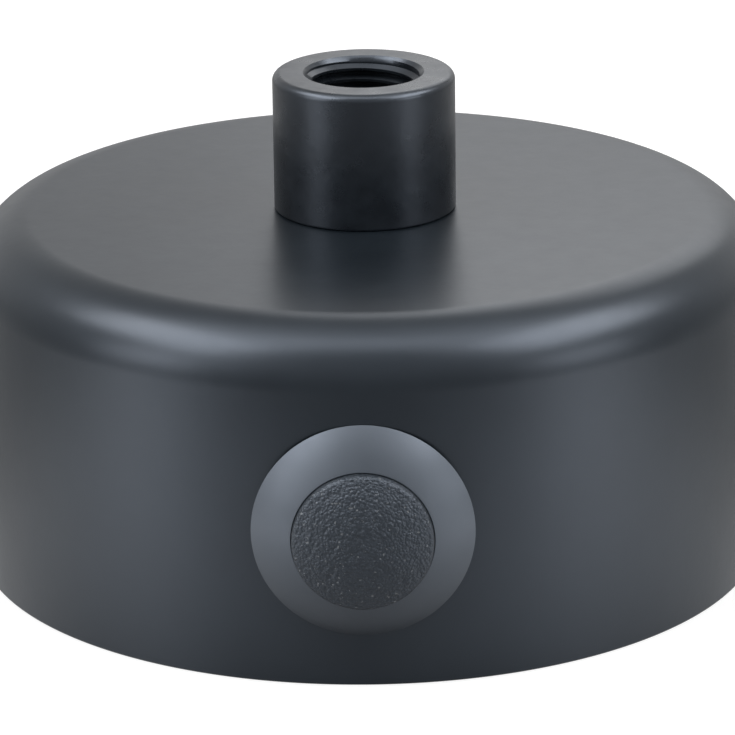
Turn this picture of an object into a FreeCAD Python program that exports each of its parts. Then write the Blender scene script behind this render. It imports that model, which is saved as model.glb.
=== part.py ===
import FreeCAD, Part
import math
import os

from FreeCAD import Vector

# Ceiling rose with a threaded neck and a push-button switch, in millimetres.
# The origin is the centre of the rim, which lies on the ceiling. +Z runs from the
# ceiling to the neck, and the switch faces -Y.

# Cup, drawn from sheet
CUP_RADIUS = 35.0
CUP_HEIGHT = 31.0
CUP_WALL = 1.0
CUP_CORNER = 5.5

# Threads are drawn as plain cylinders. The core radius is that of the tapped hole,
# and the crests of the male thread stand one thread depth outside it.
PIPE_CORE = 4.5
PIPE_THREAD = 0.5
SCREW_THREAD = 0.3
THREAD_PLAY = 0.05
HOLE_PLAY = 0.2

# Neck, turned, tapped from both ends with a relief groove between the two threads
NECK_RADIUS = 8.0
NECK_HEIGHT = 12.2
NECK_EDGE = 0.7
NECK_FOOT = 0.25
MOUTH_CHAMFER = 0.8
RELIEF_WIDTH = 1.2
RELIEF_DEPTH = 0.8

# Hollow nipple with its toothed washer and nut, under the top of the cup
NIPPLE_WALL = 0.85
NIPPLE_IN_NECK = 5.8
NIPPLE_TAIL = 1.3
NIPPLE_CHAMFER = 0.3
NUT_RIM = 2.5
NUT_THICKNESS = 3.0
LOCK_RIM = 3.0
LOCK_THICKNESS = 0.8
LOCK_TEETH = 8
LOCK_TOOTH_LENGTH = 1.0
LOCK_TOOTH_ANGLE = 24.0

# Ceiling bracket, bent from strip
BRACKET_THICKNESS = 1.5
BRACKET_WIDTH = 14.0
BRACKET_GAP = 0.25
BEND_RADIUS = 0.8
BRIDGE_RISE = 2.5
BRIDGE_HALF = 12.0
BRIDGE_RAMP = 2.5
SLOT_SPACING = 44.0
SLOT_LENGTH = 10.0
SLOT_WIDTH = 4.5
CABLE_HOLE = 4.5
LUG_WIDTH = 18.0
LUG_CORNER = 2.0
TAB_CORNER = 3.0

# Screws through the side of the cup into the turned-up ends
SIDE_CORE = 1.65
SIDE_HEIGHT = 7.0
SIDE_LAND = 5.0
SIDE_TAIL = 2.5
SIDE_HEAD = 3.4
SIDE_HEAD_HEIGHT = 2.2

# Earth screw with its clamping washer
EARTH_CORE = 1.65
EARTH_TAIL = 1.0
EARTH_HEAD = 3.5
EARTH_HEAD_HEIGHT = 2.4
EARTH_WASHER = 4.0
EARTH_WASHER_THICKNESS = 1.0

# Terminal block: one brass tube and two clamp screws a pole
POLES = 3
POLE_WALL = 1.6
POLE_GAP = 1.2
BLOCK_DEPTH = 15.0
BLOCK_ROOF = 1.1
BLOCK_WEB_DROP = 2.4
BLOCK_WALL_GAP = 1.2
BLOCK_EDGE = 1.2
TUBE_RADIUS = 2.3
TUBE_BORE = 1.5
TUBE_FLOOR = 1.3
TUBE_SETBACK = 1.0
TUBE_PLAY = 0.05
FUNNEL = 0.5
TOWER_RADIUS = 2.9
TOWER_BORE = 1.9
TOWER_HEIGHT = 5.0
TOWER_INSET = 0.6
CLAMP_CORE = 1.25
CLAMP_HEAD_PLAY = 0.2
CLAMP_HEAD_HEIGHT = 1.8
CLAMP_SUNK = 1.2
CLAMP_BITE = 0.5
BLOCK_CORE = 1.25
BLOCK_HEAD_GAP = 0.5
BLOCK_HEAD_HEIGHT = 1.8
BLOCK_SCREW_TAIL = 0.8

# Slot across the head of every screw
DRIVE_WIDTH = 0.7
DRIVE_SHARE = 0.45
HEAD_EDGE = 0.3
TIP_CHAMFER = 0.3

# Push button and the ring nut round it
SWITCH_HEIGHT = 13.8
BUTTON_RADIUS = 5.8
BUTTON_PLAY = 0.2
BUTTON_PROUD = 0.7
BUTTON_CROWN = 1.35
BUTTON_EDGE = 0.35
BUTTON_FACE = 1.2
BUTTON_SKIRT = 0.75
TRAVEL = 2.5
RING_COVER = 1.95
RING_EDGE = 0.3
RING_RISE = 2.3
RING_LIP = 0.8
RING_CROWN = 0.3
RING_SEAT = 0.02
COLLAR_WALL = 0.8

# Switch housing behind the wall of the cup
SEAL_RIM = 1.7
SEAL_THICKNESS = 0.8
SEAT_GAP = 0.05
HOUSING_SHOULDER = 2.6
HOUSING_WALL = 1.2
HOUSING_FRONT = 1.2
SLIDE_GAP = 0.3
GUIDES = 4
GUIDE_WIDTH = 1.6
GUIDE_DEPTH = 1.2
FLANGE_THICKNESS = 1.0

# Ratchet: saw teeth with helical ramps on the plunger and on the rotor
TEETH = 4
STEP_ANGLE = 45.0
TOOTH_LAP = 0.3
TIP_GAP = 0.2
RAMP_GAP = 0.1
CROWN_WIDTH = 1.7
PLUNGER_ROOF = 1.3
PLUNGER_TOP = 1.0
POST_RADIUS = 1.5
POST_LENGTH = 3.5
SOCKET_WALL = 1.0
FIT_PLAY = 0.05
SHAFT_PLAY = 0.05

# Rotor on the tubular post of the cover, with the contact bridge on its back
ROTOR_RIM = 1.0
ROTOR_DISC = 2.2
SPINDLE_GAP = 0.4
SPINDLE_WALL = 0.8
SPINDLE_CLEAR = 1.0
SPIGOT_WALL = 1.0
SPIGOT_LENGTH = 0.9
BRIDGE_THICKNESS = 0.6
BRIDGE_RING = 0.8
BRIDGE_BAR = 3.6
ROTOR_PLAY = 0.1

# Return spring inside the post
SPRING_WIRE = 0.2
SPRING_GAP = 0.3
SPRING_TURNS = 7

# Cover, contacts and their screws
COVER_PLUG = 1.2
COVER_FLANGE = 1.0
CONTACT_GAP = 0.15
CONTACT_THICKNESS = 0.8
CONTACT_WIDTH = 3.6
CONTACT_EDGE = 0.4
CONTACT_RIVET = 0.9
RIVET_HEIGHT = 0.15
ISLAND_HEIGHT = 1.6
CONTACT_CORE = 1.25
CONTACT_HEAD = 2.3
CONTACT_HEAD_HEIGHT = 1.6
CONTACT_SCREW_LENGTH = 2.6
COVER_CORE = 0.8
COVER_BOSS_INSET = 1.3
COVER_BOSS = 1.9
COVER_BOSS_HEIGHT = 2.2
COVER_HEAD = 1.8
COVER_HEAD_HEIGHT = 1.1

# Places that follow from the sizes: cup and neck
CUP_INSIDE = CUP_RADIUS - CUP_WALL
CUP_CEILING = CUP_HEIGHT - CUP_WALL
NECK_TOP = CUP_HEIGHT + NECK_HEIGHT
PIPE_HOLE = PIPE_CORE + PIPE_THREAD + HOLE_PLAY
NIPPLE_RADIUS = PIPE_CORE - THREAD_PLAY
NIPPLE_BORE = NIPPLE_RADIUS - NIPPLE_WALL
NUT_TOP = CUP_CEILING - LOCK_THICKNESS
NUT_BOTTOM = NUT_TOP - NUT_THICKNESS
NIPPLE_TOP = CUP_HEIGHT + NIPPLE_IN_NECK
NIPPLE_BOTTOM = NUT_BOTTOM - NIPPLE_TAIL

# Places on the bracket
TAB_FACE = math.sqrt(CUP_INSIDE ** 2 - (BRACKET_WIDTH / 2) ** 2) - BRACKET_GAP
BRIDGE_TOP = BRIDGE_RISE + BRACKET_THICKNESS
POLE_WIDTH = 2 * (TUBE_RADIUS + POLE_WALL)
POLE_PITCH = POLE_WIDTH + POLE_GAP
CLAMP_SPACING = BLOCK_DEPTH - 2 * (TOWER_RADIUS + TOWER_INSET)
BLOCK_HEIGHT = TUBE_FLOOR + 2 * TUBE_RADIUS + BLOCK_ROOF
BLOCK_BOSS = POLE_PITCH / 2 - TUBE_RADIUS - 2 * TUBE_PLAY
BLOCK_HEAD = math.hypot(POLE_PITCH / 2, CLAMP_SPACING / 2) - TOWER_RADIUS - BLOCK_HEAD_GAP
BLOCK_WIDTH = (POLES - 1) * POLE_PITCH + POLE_WIDTH
BLOCK_FAR = math.sqrt(CUP_INSIDE ** 2 - (BLOCK_WIDTH / 2) ** 2) - BLOCK_WALL_GAP
BLOCK_NEAR = BLOCK_FAR - BLOCK_DEPTH
BLOCK_MIDDLE = BLOCK_FAR - BLOCK_DEPTH / 2
BLOCK_TOP = BRIDGE_TOP + BLOCK_HEIGHT
TOWER_TOP = BLOCK_TOP + TOWER_HEIGHT
TUBE_AXIS = BRIDGE_TOP + TUBE_FLOOR + TUBE_RADIUS
EARTH_SPOT = (CABLE_HOLE + BRIDGE_HALF) / 2

# Distances along the switch axis, outward from the axis of the rose
COLLAR_INSIDE = BUTTON_RADIUS + BUTTON_PLAY
COLLAR_RADIUS = COLLAR_INSIDE + COLLAR_WALL
COLLAR_HOLE = COLLAR_RADIUS + SCREW_THREAD + HOLE_PLAY
RING_RADIUS = COLLAR_HOLE + RING_COVER
SEAL_RADIUS = COLLAR_HOLE + SEAL_RIM
HOUSING_RADIUS = COLLAR_RADIUS + HOUSING_SHOULDER
RING_BACK = CUP_RADIUS + RING_SEAT
RING_FRONT = RING_BACK + RING_RISE
BUTTON_RIM = RING_FRONT + BUTTON_PROUD
COLLAR_END = RING_FRONT - RING_LIP - THREAD_PLAY
SEAL_FACE = math.sqrt(CUP_INSIDE ** 2 - SEAL_RADIUS ** 2) - SEAT_GAP
SHOULDER = SEAL_FACE - SEAL_THICKNESS
LEDGE = SHOULDER - HOUSING_FRONT
FLANGE_FRONT = LEDGE - SEAT_GAP
FLANGE_BACK = FLANGE_FRONT - FLANGE_THICKNESS
CAVITY = HOUSING_RADIUS - HOUSING_WALL
GUIDE_INSIDE = CAVITY - GUIDE_DEPTH
SKIRT_INSIDE = BUTTON_RADIUS - BUTTON_SKIRT

# Ratchet, measured from the roots of the plunger's teeth
TOOTH_HEIGHT = TRAVEL + TOOTH_LAP + TIP_GAP
LEAD = TRAVEL * 360.0 / STEP_ANGLE
RAMP_ANGLE = TOOTH_HEIGHT * 360.0 / LEAD
PLUNGER_TIP = FLANGE_BACK - TOOTH_HEIGHT
ROTOR_FACE = PLUNGER_TIP + TOOTH_LAP - TOOTH_HEIGHT
PLUNGER_TURN = (PLUNGER_TIP - ROTOR_FACE - RAMP_GAP) * 360.0 / LEAD
PLUNGER_RADIUS = SKIRT_INSIDE - FIT_PLAY
CROWN_INSIDE = PLUNGER_RADIUS - CROWN_WIDTH
SPINDLE_RADIUS = CROWN_INSIDE - SPINDLE_GAP
SPIGOT_RADIUS = SPINDLE_RADIUS + SPIGOT_WALL
ROTOR_RADIUS = PLUNGER_RADIUS + ROTOR_RIM
ROOF = FLANGE_BACK + PLUNGER_ROOF
PLUNGER_FRONT = ROOF + PLUNGER_TOP
ROTOR_BACK = ROTOR_FACE - ROTOR_DISC
SPIGOT_END = ROTOR_BACK - SPIGOT_LENGTH
ROTOR_BORE = SPINDLE_RADIUS + SHAFT_PLAY
BRIDGE_BACK = ROTOR_BACK - BRIDGE_THICKNESS
LEG_FRONT = BRIDGE_BACK - CONTACT_GAP - RIVET_HEIGHT
LEG_BACK = LEG_FRONT - CONTACT_THICKNESS
COVER_FRONT = LEG_BACK - ISLAND_HEIGHT
HOUSING_BACK = COVER_FRONT - COVER_PLUG
COVER_BACK = HOUSING_BACK - COVER_FLANGE
FOOT_BACK = COVER_BACK - CONTACT_THICKNESS
SPINDLE_BORE = SPINDLE_RADIUS - SPINDLE_WALL
SPINDLE_END = ROOF - TRAVEL - SPINDLE_CLEAR
WEB_OUTSIDE = CAVITY - FIT_PLAY - CONTACT_EDGE
CONTACT_SCREW_SPOT = WEB_OUTSIDE - CONTACT_HEAD - FIT_PLAY
COVER_SCREW_SPOT = CAVITY - COVER_BOSS_INSET

LONG = 4 * CUP_RADIUS
TINY = 1e-6
BULGE_REACH = 0.95
RAMP_RUN = 0.2
RAMP_OVERCUT = 0.6


def corner_round(before, corner, after, radius):
    """Start, middle and end of the arc that rounds one corner of an outline."""
    back = before - corner
    ahead = after - corner
    back.normalize()
    ahead.normalize()
    half = back.getAngle(ahead) / 2
    inward = back + ahead
    inward.normalize()
    start = corner + back * (radius / math.tan(half))
    end = corner + ahead * (radius / math.tan(half))
    middle = corner + inward * (radius / math.sin(half) - radius)
    return start, middle, end


def outline(points, radii=None):
    """Closed face through the points, each corner rounded to its own radius."""
    radii = radii or [0] * len(points)
    starts = []
    ends = []
    edges = []
    for index, corner in enumerate(points):
        after = points[(index + 1) % len(points)]
        start = end = corner
        if radii[index] > 0:
            start, middle, end = corner_round(points[index - 1], corner, after, radii[index])
            edges.append(Part.Arc(start, middle, end).toShape())
        starts.append(start)
        ends.append(end)
    for index, end in enumerate(ends):
        start = starts[(index + 1) % len(points)]
        if end.distanceToPoint(start) > TINY:
            edges.append(Part.LineSegment(end, start).toShape())
    return Part.Face(Part.Wire(Part.sortEdges(edges)[0]))


def turned(points, radii=None):
    """Solid turned about Z from (radius, height) points."""
    section = outline([Vector(radius, 0, height) for radius, height in points], radii)
    return section.revolve(Vector(0, 0, 0), Vector(0, 0, 1), 360)


def rod(radius, low, high):
    """Cylinder on Z from one height to another."""
    return Part.makeCylinder(radius, high - low, Vector(0, 0, low))


def tube(inside, outside, low, high):
    """Hollow cylinder on Z."""
    return rod(outside, low, high).cut(rod(inside, low, high))


def block(low, high):
    """Box between two corners."""
    size = [high[axis] - low[axis] for axis in range(3)]
    return Part.makeBox(size[0], size[1], size[2], Vector(*low))


def moved(shape, x, y, z):
    """Copy of a shape, shifted."""
    copy = shape.copy()
    copy.translate(Vector(x, y, z))
    return copy


def spun(shape, angle):
    """Copy of a shape, turned about Z."""
    copy = shape.copy()
    copy.rotate(Vector(0, 0, 0), Vector(0, 0, 1), angle)
    return copy


def pointed(shape, direction, x, y, z):
    """Copy of a shape whose +Z is swung to a direction and whose origin is moved."""
    copy = shape.copy()
    turn = FreeCAD.Rotation(Vector(0, 0, 1), Vector(*direction))
    copy.Placement = FreeCAD.Placement(Vector(x, y, z), turn)
    return copy


def at_switch(shape):
    """Swings a shape built outward along +Z onto the switch axis, which faces -Y."""
    copy = shape.copy()
    copy.rotate(Vector(0, 0, 0), Vector(1, 0, 0), 90)
    copy.translate(Vector(0, 0, SWITCH_HEIGHT))
    return copy


def rounded(shape, radius, direction, height):
    """Rounds the straight edges that run in a direction at one height."""
    chosen = []
    for edge in shape.Edges:
        start = edge.firstVertex().Point
        end = edge.lastVertex().Point
        level = abs(start.z - height) < TINY and abs(end.z - height) < TINY
        if level and (end - start).cross(direction).Length < TINY:
            chosen.append(edge)
    return shape.makeFillet(radius, chosen)


def bulge(start, end, crown):
    """Corner and radius that bow the line between two (radius, height) points outward."""
    across = Vector(end[0] - start[0], 0, end[1] - start[1])
    out = Vector(across.z, 0, -across.x).normalize()
    middle = Vector(start[0] + end[0], 0, start[1] + end[1]) * 0.5
    corner = middle + out * (2 * crown)
    half = math.atan2(across.Length / 2, 2 * crown)
    reach = math.hypot(across.Length / 2, 2 * crown) * BULGE_REACH
    return (corner.x, corner.z), reach * math.tan(half)


def slotted_screw(core, length, head, head_height):
    """Screw with its head on +Z, seated at zero, and a slot across the head."""
    shank = core - THREAD_PLAY
    points = [
        (0, -length),
        (shank - TIP_CHAMFER, -length),
        (shank, -length + TIP_CHAMFER),
        (shank, 0),
        (head, 0),
        (head, head_height),
        (0, head_height),
    ]
    body = turned(points, [0, 0, 0, 0, 0, HEAD_EDGE, 0])
    depth = head_height * DRIVE_SHARE
    half = DRIVE_WIDTH / 2
    return body.cut(block((-head, -half, head_height - depth), (head, half, head_height)))


def bent_strip(points, thickness, width, bend):
    """Strip of sheet bent along a path in the XZ plane, with its thickness on the left."""
    left = []
    for index, corner in enumerate(points):
        before = points[max(index - 1, 0)]
        after = points[min(index + 1, len(points) - 1)]
        first = corner - before if index else after - corner
        second = after - corner if index < len(points) - 1 else first
        first.normalize()
        second.normalize()
        normal = Vector(-first.z - second.z, 0, first.x + second.x)
        normal.normalize()
        lean = normal.dot(Vector(-first.z, 0, first.x))
        left.append(corner + normal * (thickness / lean))
    radii = []
    for index in range(1, len(points) - 1):
        turn = (points[index] - points[index - 1]).cross(points[index + 1] - points[index])
        radii.append((bend + thickness, bend) if turn.y < 0 else (bend, bend + thickness))
    right_radii = [0] + [pair[0] for pair in radii] + [0]
    left_radii = [0] + [pair[1] for pair in radii] + [0]
    face = outline(points + left[::-1], right_radii + left_radii[::-1])
    return moved(face.extrude(Vector(0, width, 0)), 0, -width / 2, 0)


def rose_cup():
    """Drawn cup with the holes for the nipple, the switch collar and the side screws."""
    points = [
        (CUP_RADIUS, 0),
        (CUP_RADIUS, CUP_HEIGHT),
        (PIPE_HOLE, CUP_HEIGHT),
        (PIPE_HOLE, CUP_CEILING),
        (CUP_INSIDE, CUP_CEILING),
        (CUP_INSIDE, 0),
    ]
    cup = turned(points, [0, CUP_CORNER, 0, 0, CUP_CORNER - CUP_WALL, 0])
    cup = cup.cut(at_switch(rod(COLLAR_HOLE, 0, LONG)))
    for side in (-1, 1):
        hole = rod(SIDE_CORE + SCREW_THREAD + HOLE_PLAY, 0, LONG)
        cup = cup.cut(pointed(hole, (side, 0, 0), 0, 0, SIDE_HEIGHT))
    return cup


def neck_sleeve():
    """Neck with a thread from each end, a relief groove between them and a chamfered mouth."""
    groove = PIPE_CORE + RELIEF_DEPTH
    points = [
        (PIPE_CORE, CUP_HEIGHT),
        (NECK_RADIUS, CUP_HEIGHT),
        (NECK_RADIUS, NECK_TOP),
        (PIPE_CORE + MOUTH_CHAMFER, NECK_TOP),
        (PIPE_CORE, NECK_TOP - MOUTH_CHAMFER),
        (PIPE_CORE, NIPPLE_TOP + RELIEF_WIDTH),
        (groove, NIPPLE_TOP + RELIEF_WIDTH),
        (groove, NIPPLE_TOP),
        (PIPE_CORE, NIPPLE_TOP),
    ]
    return turned(points, [0, NECK_FOOT, NECK_EDGE, 0, 0, 0, 0, 0, 0])


def threaded_nipple():
    """Hollow nipple that joins the neck to the cup and passes the lamp lead."""
    edge = NIPPLE_RADIUS - NIPPLE_CHAMFER
    points = [
        (NIPPLE_BORE, NIPPLE_BOTTOM),
        (edge, NIPPLE_BOTTOM),
        (NIPPLE_RADIUS, NIPPLE_BOTTOM + NIPPLE_CHAMFER),
        (NIPPLE_RADIUS, NIPPLE_TOP - NIPPLE_CHAMFER),
        (edge, NIPPLE_TOP),
        (NIPPLE_BORE, NIPPLE_TOP),
    ]
    return turned(points)


def nipple_lock_washer():
    """Flat washer whose inner teeth bite on the nut."""
    inside = PIPE_CORE + PIPE_THREAD
    outside = inside + LOCK_RIM
    root = inside + LOCK_TOOTH_LENGTH
    washer = tube(root, outside, NUT_TOP, CUP_CEILING)
    tooth = Part.makeCylinder(
        root + FIT_PLAY, LOCK_THICKNESS, Vector(0, 0, NUT_TOP), Vector(0, 0, 1), LOCK_TOOTH_ANGLE
    )
    tooth = tooth.cut(rod(inside, NUT_TOP, CUP_CEILING))
    for index in range(LOCK_TEETH):
        washer = washer.fuse(spun(tooth, index * 360.0 / LOCK_TEETH))
    return washer.removeSplitter()


def nipple_lock_nut():
    """Thin hexagon nut, with its corners turned away at both ends."""
    flat = PIPE_CORE + NUT_RIM
    corner = flat / math.cos(math.pi / 6)
    drop = corner - flat
    points = [Vector(corner, 0, NUT_BOTTOM)]
    for index in range(1, 7):
        angle = index * math.pi / 3
        points.append(Vector(corner * math.cos(angle), corner * math.sin(angle), NUT_BOTTOM))
    prism = Part.Face(Part.makePolygon(points)).extrude(Vector(0, 0, NUT_THICKNESS))
    dome = [
        (0, NUT_BOTTOM),
        (flat, NUT_BOTTOM),
        (corner, NUT_BOTTOM + drop * math.tan(math.pi / 6)),
        (corner, NUT_TOP - drop * math.tan(math.pi / 6)),
        (flat, NUT_TOP),
        (0, NUT_TOP),
    ]
    return prism.common(turned(dome)).cut(rod(PIPE_CORE, NUT_BOTTOM, NUT_TOP))


def mounting_bracket():
    """Strip with turned-up ends, a raised middle, a lug for the terminals and its holes."""
    half = [
        Vector(BRIDGE_HALF, 0, BRIDGE_RISE),
        Vector(BRIDGE_HALF + BRIDGE_RAMP, 0, 0),
        Vector(TAB_FACE, 0, 0),
        Vector(TAB_FACE, 0, SIDE_HEIGHT + SIDE_LAND),
    ]
    path = [Vector(-point.x, 0, point.z) for point in reversed(half)] + half
    bracket = bent_strip(path, BRACKET_THICKNESS, BRACKET_WIDTH, BEND_RADIUS)
    side = LUG_WIDTH / 2
    corners = [(-side, 0), (side, 0), (side, BLOCK_FAR), (-side, BLOCK_FAR)]
    lug = outline(
        [Vector(x, y, BRIDGE_RISE) for x, y in corners], [0, 0, LUG_CORNER, LUG_CORNER]
    ).extrude(Vector(0, 0, BRACKET_THICKNESS))
    bracket = bracket.fuse(lug).removeSplitter()
    bracket = rounded(bracket, TAB_CORNER, Vector(1, 0, 0), SIDE_HEIGHT + SIDE_LAND)
    bracket = bracket.cut(rod(CABLE_HOLE, 0, BRIDGE_TOP))
    bracket = bracket.cut(moved(rod(EARTH_CORE, 0, BRIDGE_TOP), EARTH_SPOT, 0, 0))
    for x in block_screw_places():
        bracket = bracket.cut(moved(rod(BLOCK_CORE, 0, BRIDGE_TOP), x, BLOCK_MIDDLE, 0))
    for end in (-1, 1):
        slot = ceiling_slot()
        bracket = bracket.cut(moved(slot, end * SLOT_SPACING / 2, 0, 0))
        hole = pointed(rod(SIDE_CORE, 0, LONG), (end, 0, 0), 0, 0, SIDE_HEIGHT)
        bracket = bracket.cut(hole)
    return bracket


def ceiling_slot():
    """Straight slot with round ends, long along X."""
    run = (SLOT_LENGTH - SLOT_WIDTH) / 2
    radius = SLOT_WIDTH / 2
    slot = block((-run, -radius, 0), (run, radius, BRACKET_THICKNESS))
    for end in (-run, run):
        slot = slot.fuse(moved(rod(radius, 0, BRACKET_THICKNESS), end, 0, 0))
    return slot


def side_screw(end):
    """Screw through the side of the cup, seated on its outside."""
    length = CUP_RADIUS - TAB_FACE + BRACKET_THICKNESS + SIDE_TAIL
    screw = slotted_screw(SIDE_CORE, length, SIDE_HEAD, SIDE_HEAD_HEIGHT)
    return pointed(screw, (end, 0, 0), end * (CUP_RADIUS + RING_SEAT), 0, SIDE_HEIGHT)


def earth_screw():
    """Screw that clamps the earth wire beside the cable hole."""
    length = EARTH_WASHER_THICKNESS + BRACKET_THICKNESS + EARTH_TAIL
    screw = slotted_screw(EARTH_CORE, length, EARTH_HEAD, EARTH_HEAD_HEIGHT)
    return moved(screw, EARTH_SPOT, 0, BRIDGE_TOP + EARTH_WASHER_THICKNESS)


def earth_washer():
    """Square clamping washer with rounded corners under the earth screw."""
    half = EARTH_WASHER / math.sqrt(2) + HEAD_EDGE
    corners = [(-half, -half), (half, -half), (half, half), (-half, half)]
    plate = outline([Vector(x, y, 0) for x, y in corners], [TIP_CHAMFER * 2] * 4)
    washer = plate.extrude(Vector(0, 0, EARTH_WASHER_THICKNESS))
    washer = washer.cut(rod(EARTH_CORE + SCREW_THREAD + HOLE_PLAY, 0, EARTH_WASHER_THICKNESS))
    return moved(washer, EARTH_SPOT, 0, BRIDGE_TOP)


def pole_places():
    """X of each pole of the terminal block."""
    return [(index - (POLES - 1) / 2) * POLE_PITCH for index in range(POLES)]


def block_screw_places():
    """X of each fixing screw, halfway between neighbouring poles."""
    poles = pole_places()
    return [(left + right) / 2 for left, right in zip(poles, poles[1:])]


def clamp_places():
    """(x, y) of each clamp screw, two to a pole."""
    return [
        (x, BLOCK_MIDDLE + hand * CLAMP_SPACING / 2) for x in pole_places() for hand in (-1, 1)
    ]


def terminal_block_body():
    """Moulded block: a barrel and two screw towers a pole, webs and fixing bosses between."""
    half = POLE_WIDTH / 2
    body = block(
        (pole_places()[0], BLOCK_NEAR + BLOCK_EDGE, BRIDGE_TOP),
        (pole_places()[-1], BLOCK_FAR - BLOCK_EDGE, BLOCK_TOP - BLOCK_WEB_DROP),
    )
    for x in pole_places():
        corners = [
            Vector(x - half, BLOCK_NEAR, BRIDGE_TOP),
            Vector(x + half, BLOCK_NEAR, BRIDGE_TOP),
            Vector(x + half, BLOCK_NEAR, BLOCK_TOP),
            Vector(x - half, BLOCK_NEAR, BLOCK_TOP),
        ]
        barrel = outline(corners, [0, 0, BLOCK_EDGE, BLOCK_EDGE])
        body = body.fuse(barrel.extrude(Vector(0, BLOCK_DEPTH, 0)))
    for x, y in clamp_places():
        body = body.fuse(moved(rod(TOWER_RADIUS, BRIDGE_TOP, TOWER_TOP), x, y, 0))
    for x in block_screw_places():
        boss = rod(BLOCK_BOSS, BRIDGE_TOP, BLOCK_TOP)
        body = body.fuse(moved(boss, x, BLOCK_MIDDLE, 0))
    body = body.removeSplitter()
    for x in pole_places():
        body = body.cut(wire_way(x))
    for x, y in clamp_places():
        body = body.cut(moved(rod(TOWER_BORE, TUBE_AXIS, TOWER_TOP), x, y, 0))
    for x in block_screw_places():
        hole = rod(BLOCK_CORE + SCREW_THREAD, BRIDGE_TOP, BLOCK_TOP)
        body = body.cut(moved(hole, x, BLOCK_MIDDLE, 0))
    return body


def wire_way(x):
    """Room for one brass tube, funnelled for the wire at each end."""
    seat = TUBE_RADIUS + TUBE_PLAY
    points = [
        (0, 0),
        (TUBE_BORE + FUNNEL, 0),
        (TUBE_BORE, TUBE_SETBACK - TUBE_PLAY),
        (seat, TUBE_SETBACK - TUBE_PLAY),
        (seat, BLOCK_DEPTH - TUBE_SETBACK + TUBE_PLAY),
        (TUBE_BORE, BLOCK_DEPTH - TUBE_SETBACK + TUBE_PLAY),
        (TUBE_BORE + FUNNEL, BLOCK_DEPTH),
        (0, BLOCK_DEPTH),
    ]
    return pointed(turned(points), (0, 1, 0), x, BLOCK_NEAR, TUBE_AXIS)


def terminal_tube(x):
    """Brass tube of one pole with its two tapped holes."""
    low = BLOCK_NEAR + TUBE_SETBACK
    barrel = tube(TUBE_BORE, TUBE_RADIUS, 0, BLOCK_DEPTH - 2 * TUBE_SETBACK)
    brass = pointed(barrel, (0, 1, 0), x, low, TUBE_AXIS)
    for place_x, y in clamp_places():
        if abs(place_x - x) < TINY:
            brass = brass.cut(moved(rod(CLAMP_CORE, TUBE_AXIS, TOWER_TOP), x, y, 0))
    return brass


def clamp_screws():
    """The screws that clamp the wires, one down each tower."""
    seat = TOWER_TOP - CLAMP_SUNK - CLAMP_HEAD_HEIGHT
    tip = TUBE_AXIS + CLAMP_BITE
    head = TOWER_BORE - CLAMP_HEAD_PLAY
    screw = slotted_screw(CLAMP_CORE, seat - tip, head, CLAMP_HEAD_HEIGHT)
    return Part.makeCompound([moved(screw, x, y, seat) for x, y in clamp_places()])


def block_screws():
    """The screws that hold the terminal block to the lug."""
    length = BLOCK_HEIGHT + BRACKET_THICKNESS + BLOCK_SCREW_TAIL
    screw = slotted_screw(BLOCK_CORE, length, BLOCK_HEAD, BLOCK_HEAD_HEIGHT)
    return Part.makeCompound(
        [moved(screw, x, BLOCK_MIDDLE, BLOCK_TOP) for x in block_screw_places()]
    )


def switch_ring_nut():
    """Domed ring nut, tapped behind and closed to the button by a lip in front."""
    shoulder = (RING_RADIUS, RING_BACK + RING_EDGE)
    lip = (COLLAR_INSIDE, RING_FRONT)
    crest, radius = bulge(shoulder, lip, RING_CROWN)
    points = [
        (COLLAR_RADIUS + THREAD_PLAY, RING_BACK),
        (RING_RADIUS, RING_BACK),
        shoulder,
        crest,
        lip,
        (COLLAR_INSIDE, RING_FRONT - RING_LIP),
        (COLLAR_RADIUS + THREAD_PLAY, RING_FRONT - RING_LIP),
    ]
    return at_switch(turned(points, [0, 0, 0, radius, 0, 0, 0]))


def switch_washer():
    """Flat washer between the inside of the cup and the shoulder of the housing."""
    return at_switch(tube(COLLAR_HOLE, SEAL_RADIUS, SHOULDER, SEAL_FACE))


def switch_housing():
    """Moulded housing: collar, front wall, cavity with guide ribs, and two screw bosses."""
    points = [
        (COLLAR_INSIDE, COLLAR_END),
        (COLLAR_RADIUS, COLLAR_END),
        (COLLAR_RADIUS, SHOULDER),
        (HOUSING_RADIUS, SHOULDER),
        (HOUSING_RADIUS, HOUSING_BACK),
        (CAVITY, HOUSING_BACK),
        (CAVITY, LEDGE),
        (COLLAR_INSIDE, LEDGE),
    ]
    housing = turned(points, [0, 0, 0, HEAD_EDGE, 0, 0, 0, 0])
    low = FLANGE_BACK - TRAVEL - SLIDE_GAP
    rib = block((GUIDE_INSIDE, -GUIDE_WIDTH / 2, low), (CAVITY + FIT_PLAY, GUIDE_WIDTH / 2, LEDGE))
    for angle in guide_angles():
        housing = housing.fuse(spun(rib, angle))
    base = COVER_FRONT + FIT_PLAY
    for spot in (-COVER_SCREW_SPOT, COVER_SCREW_SPOT):
        boss = moved(rod(COVER_BOSS, base, base + COVER_BOSS_HEIGHT), 0, spot, 0)
        boss = boss.common(rod(CAVITY + FIT_PLAY, base, base + COVER_BOSS_HEIGHT))
        housing = housing.fuse(boss)
        housing = housing.cut(moved(rod(COVER_CORE, base, base + COVER_BOSS_HEIGHT), 0, spot, 0))
    return at_switch(housing)


def guide_angles():
    """Angle of each guide rib, halfway between the contacts and the screw bosses."""
    return [(index + 0.5) * 360.0 / GUIDES for index in range(GUIDES)]


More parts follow.
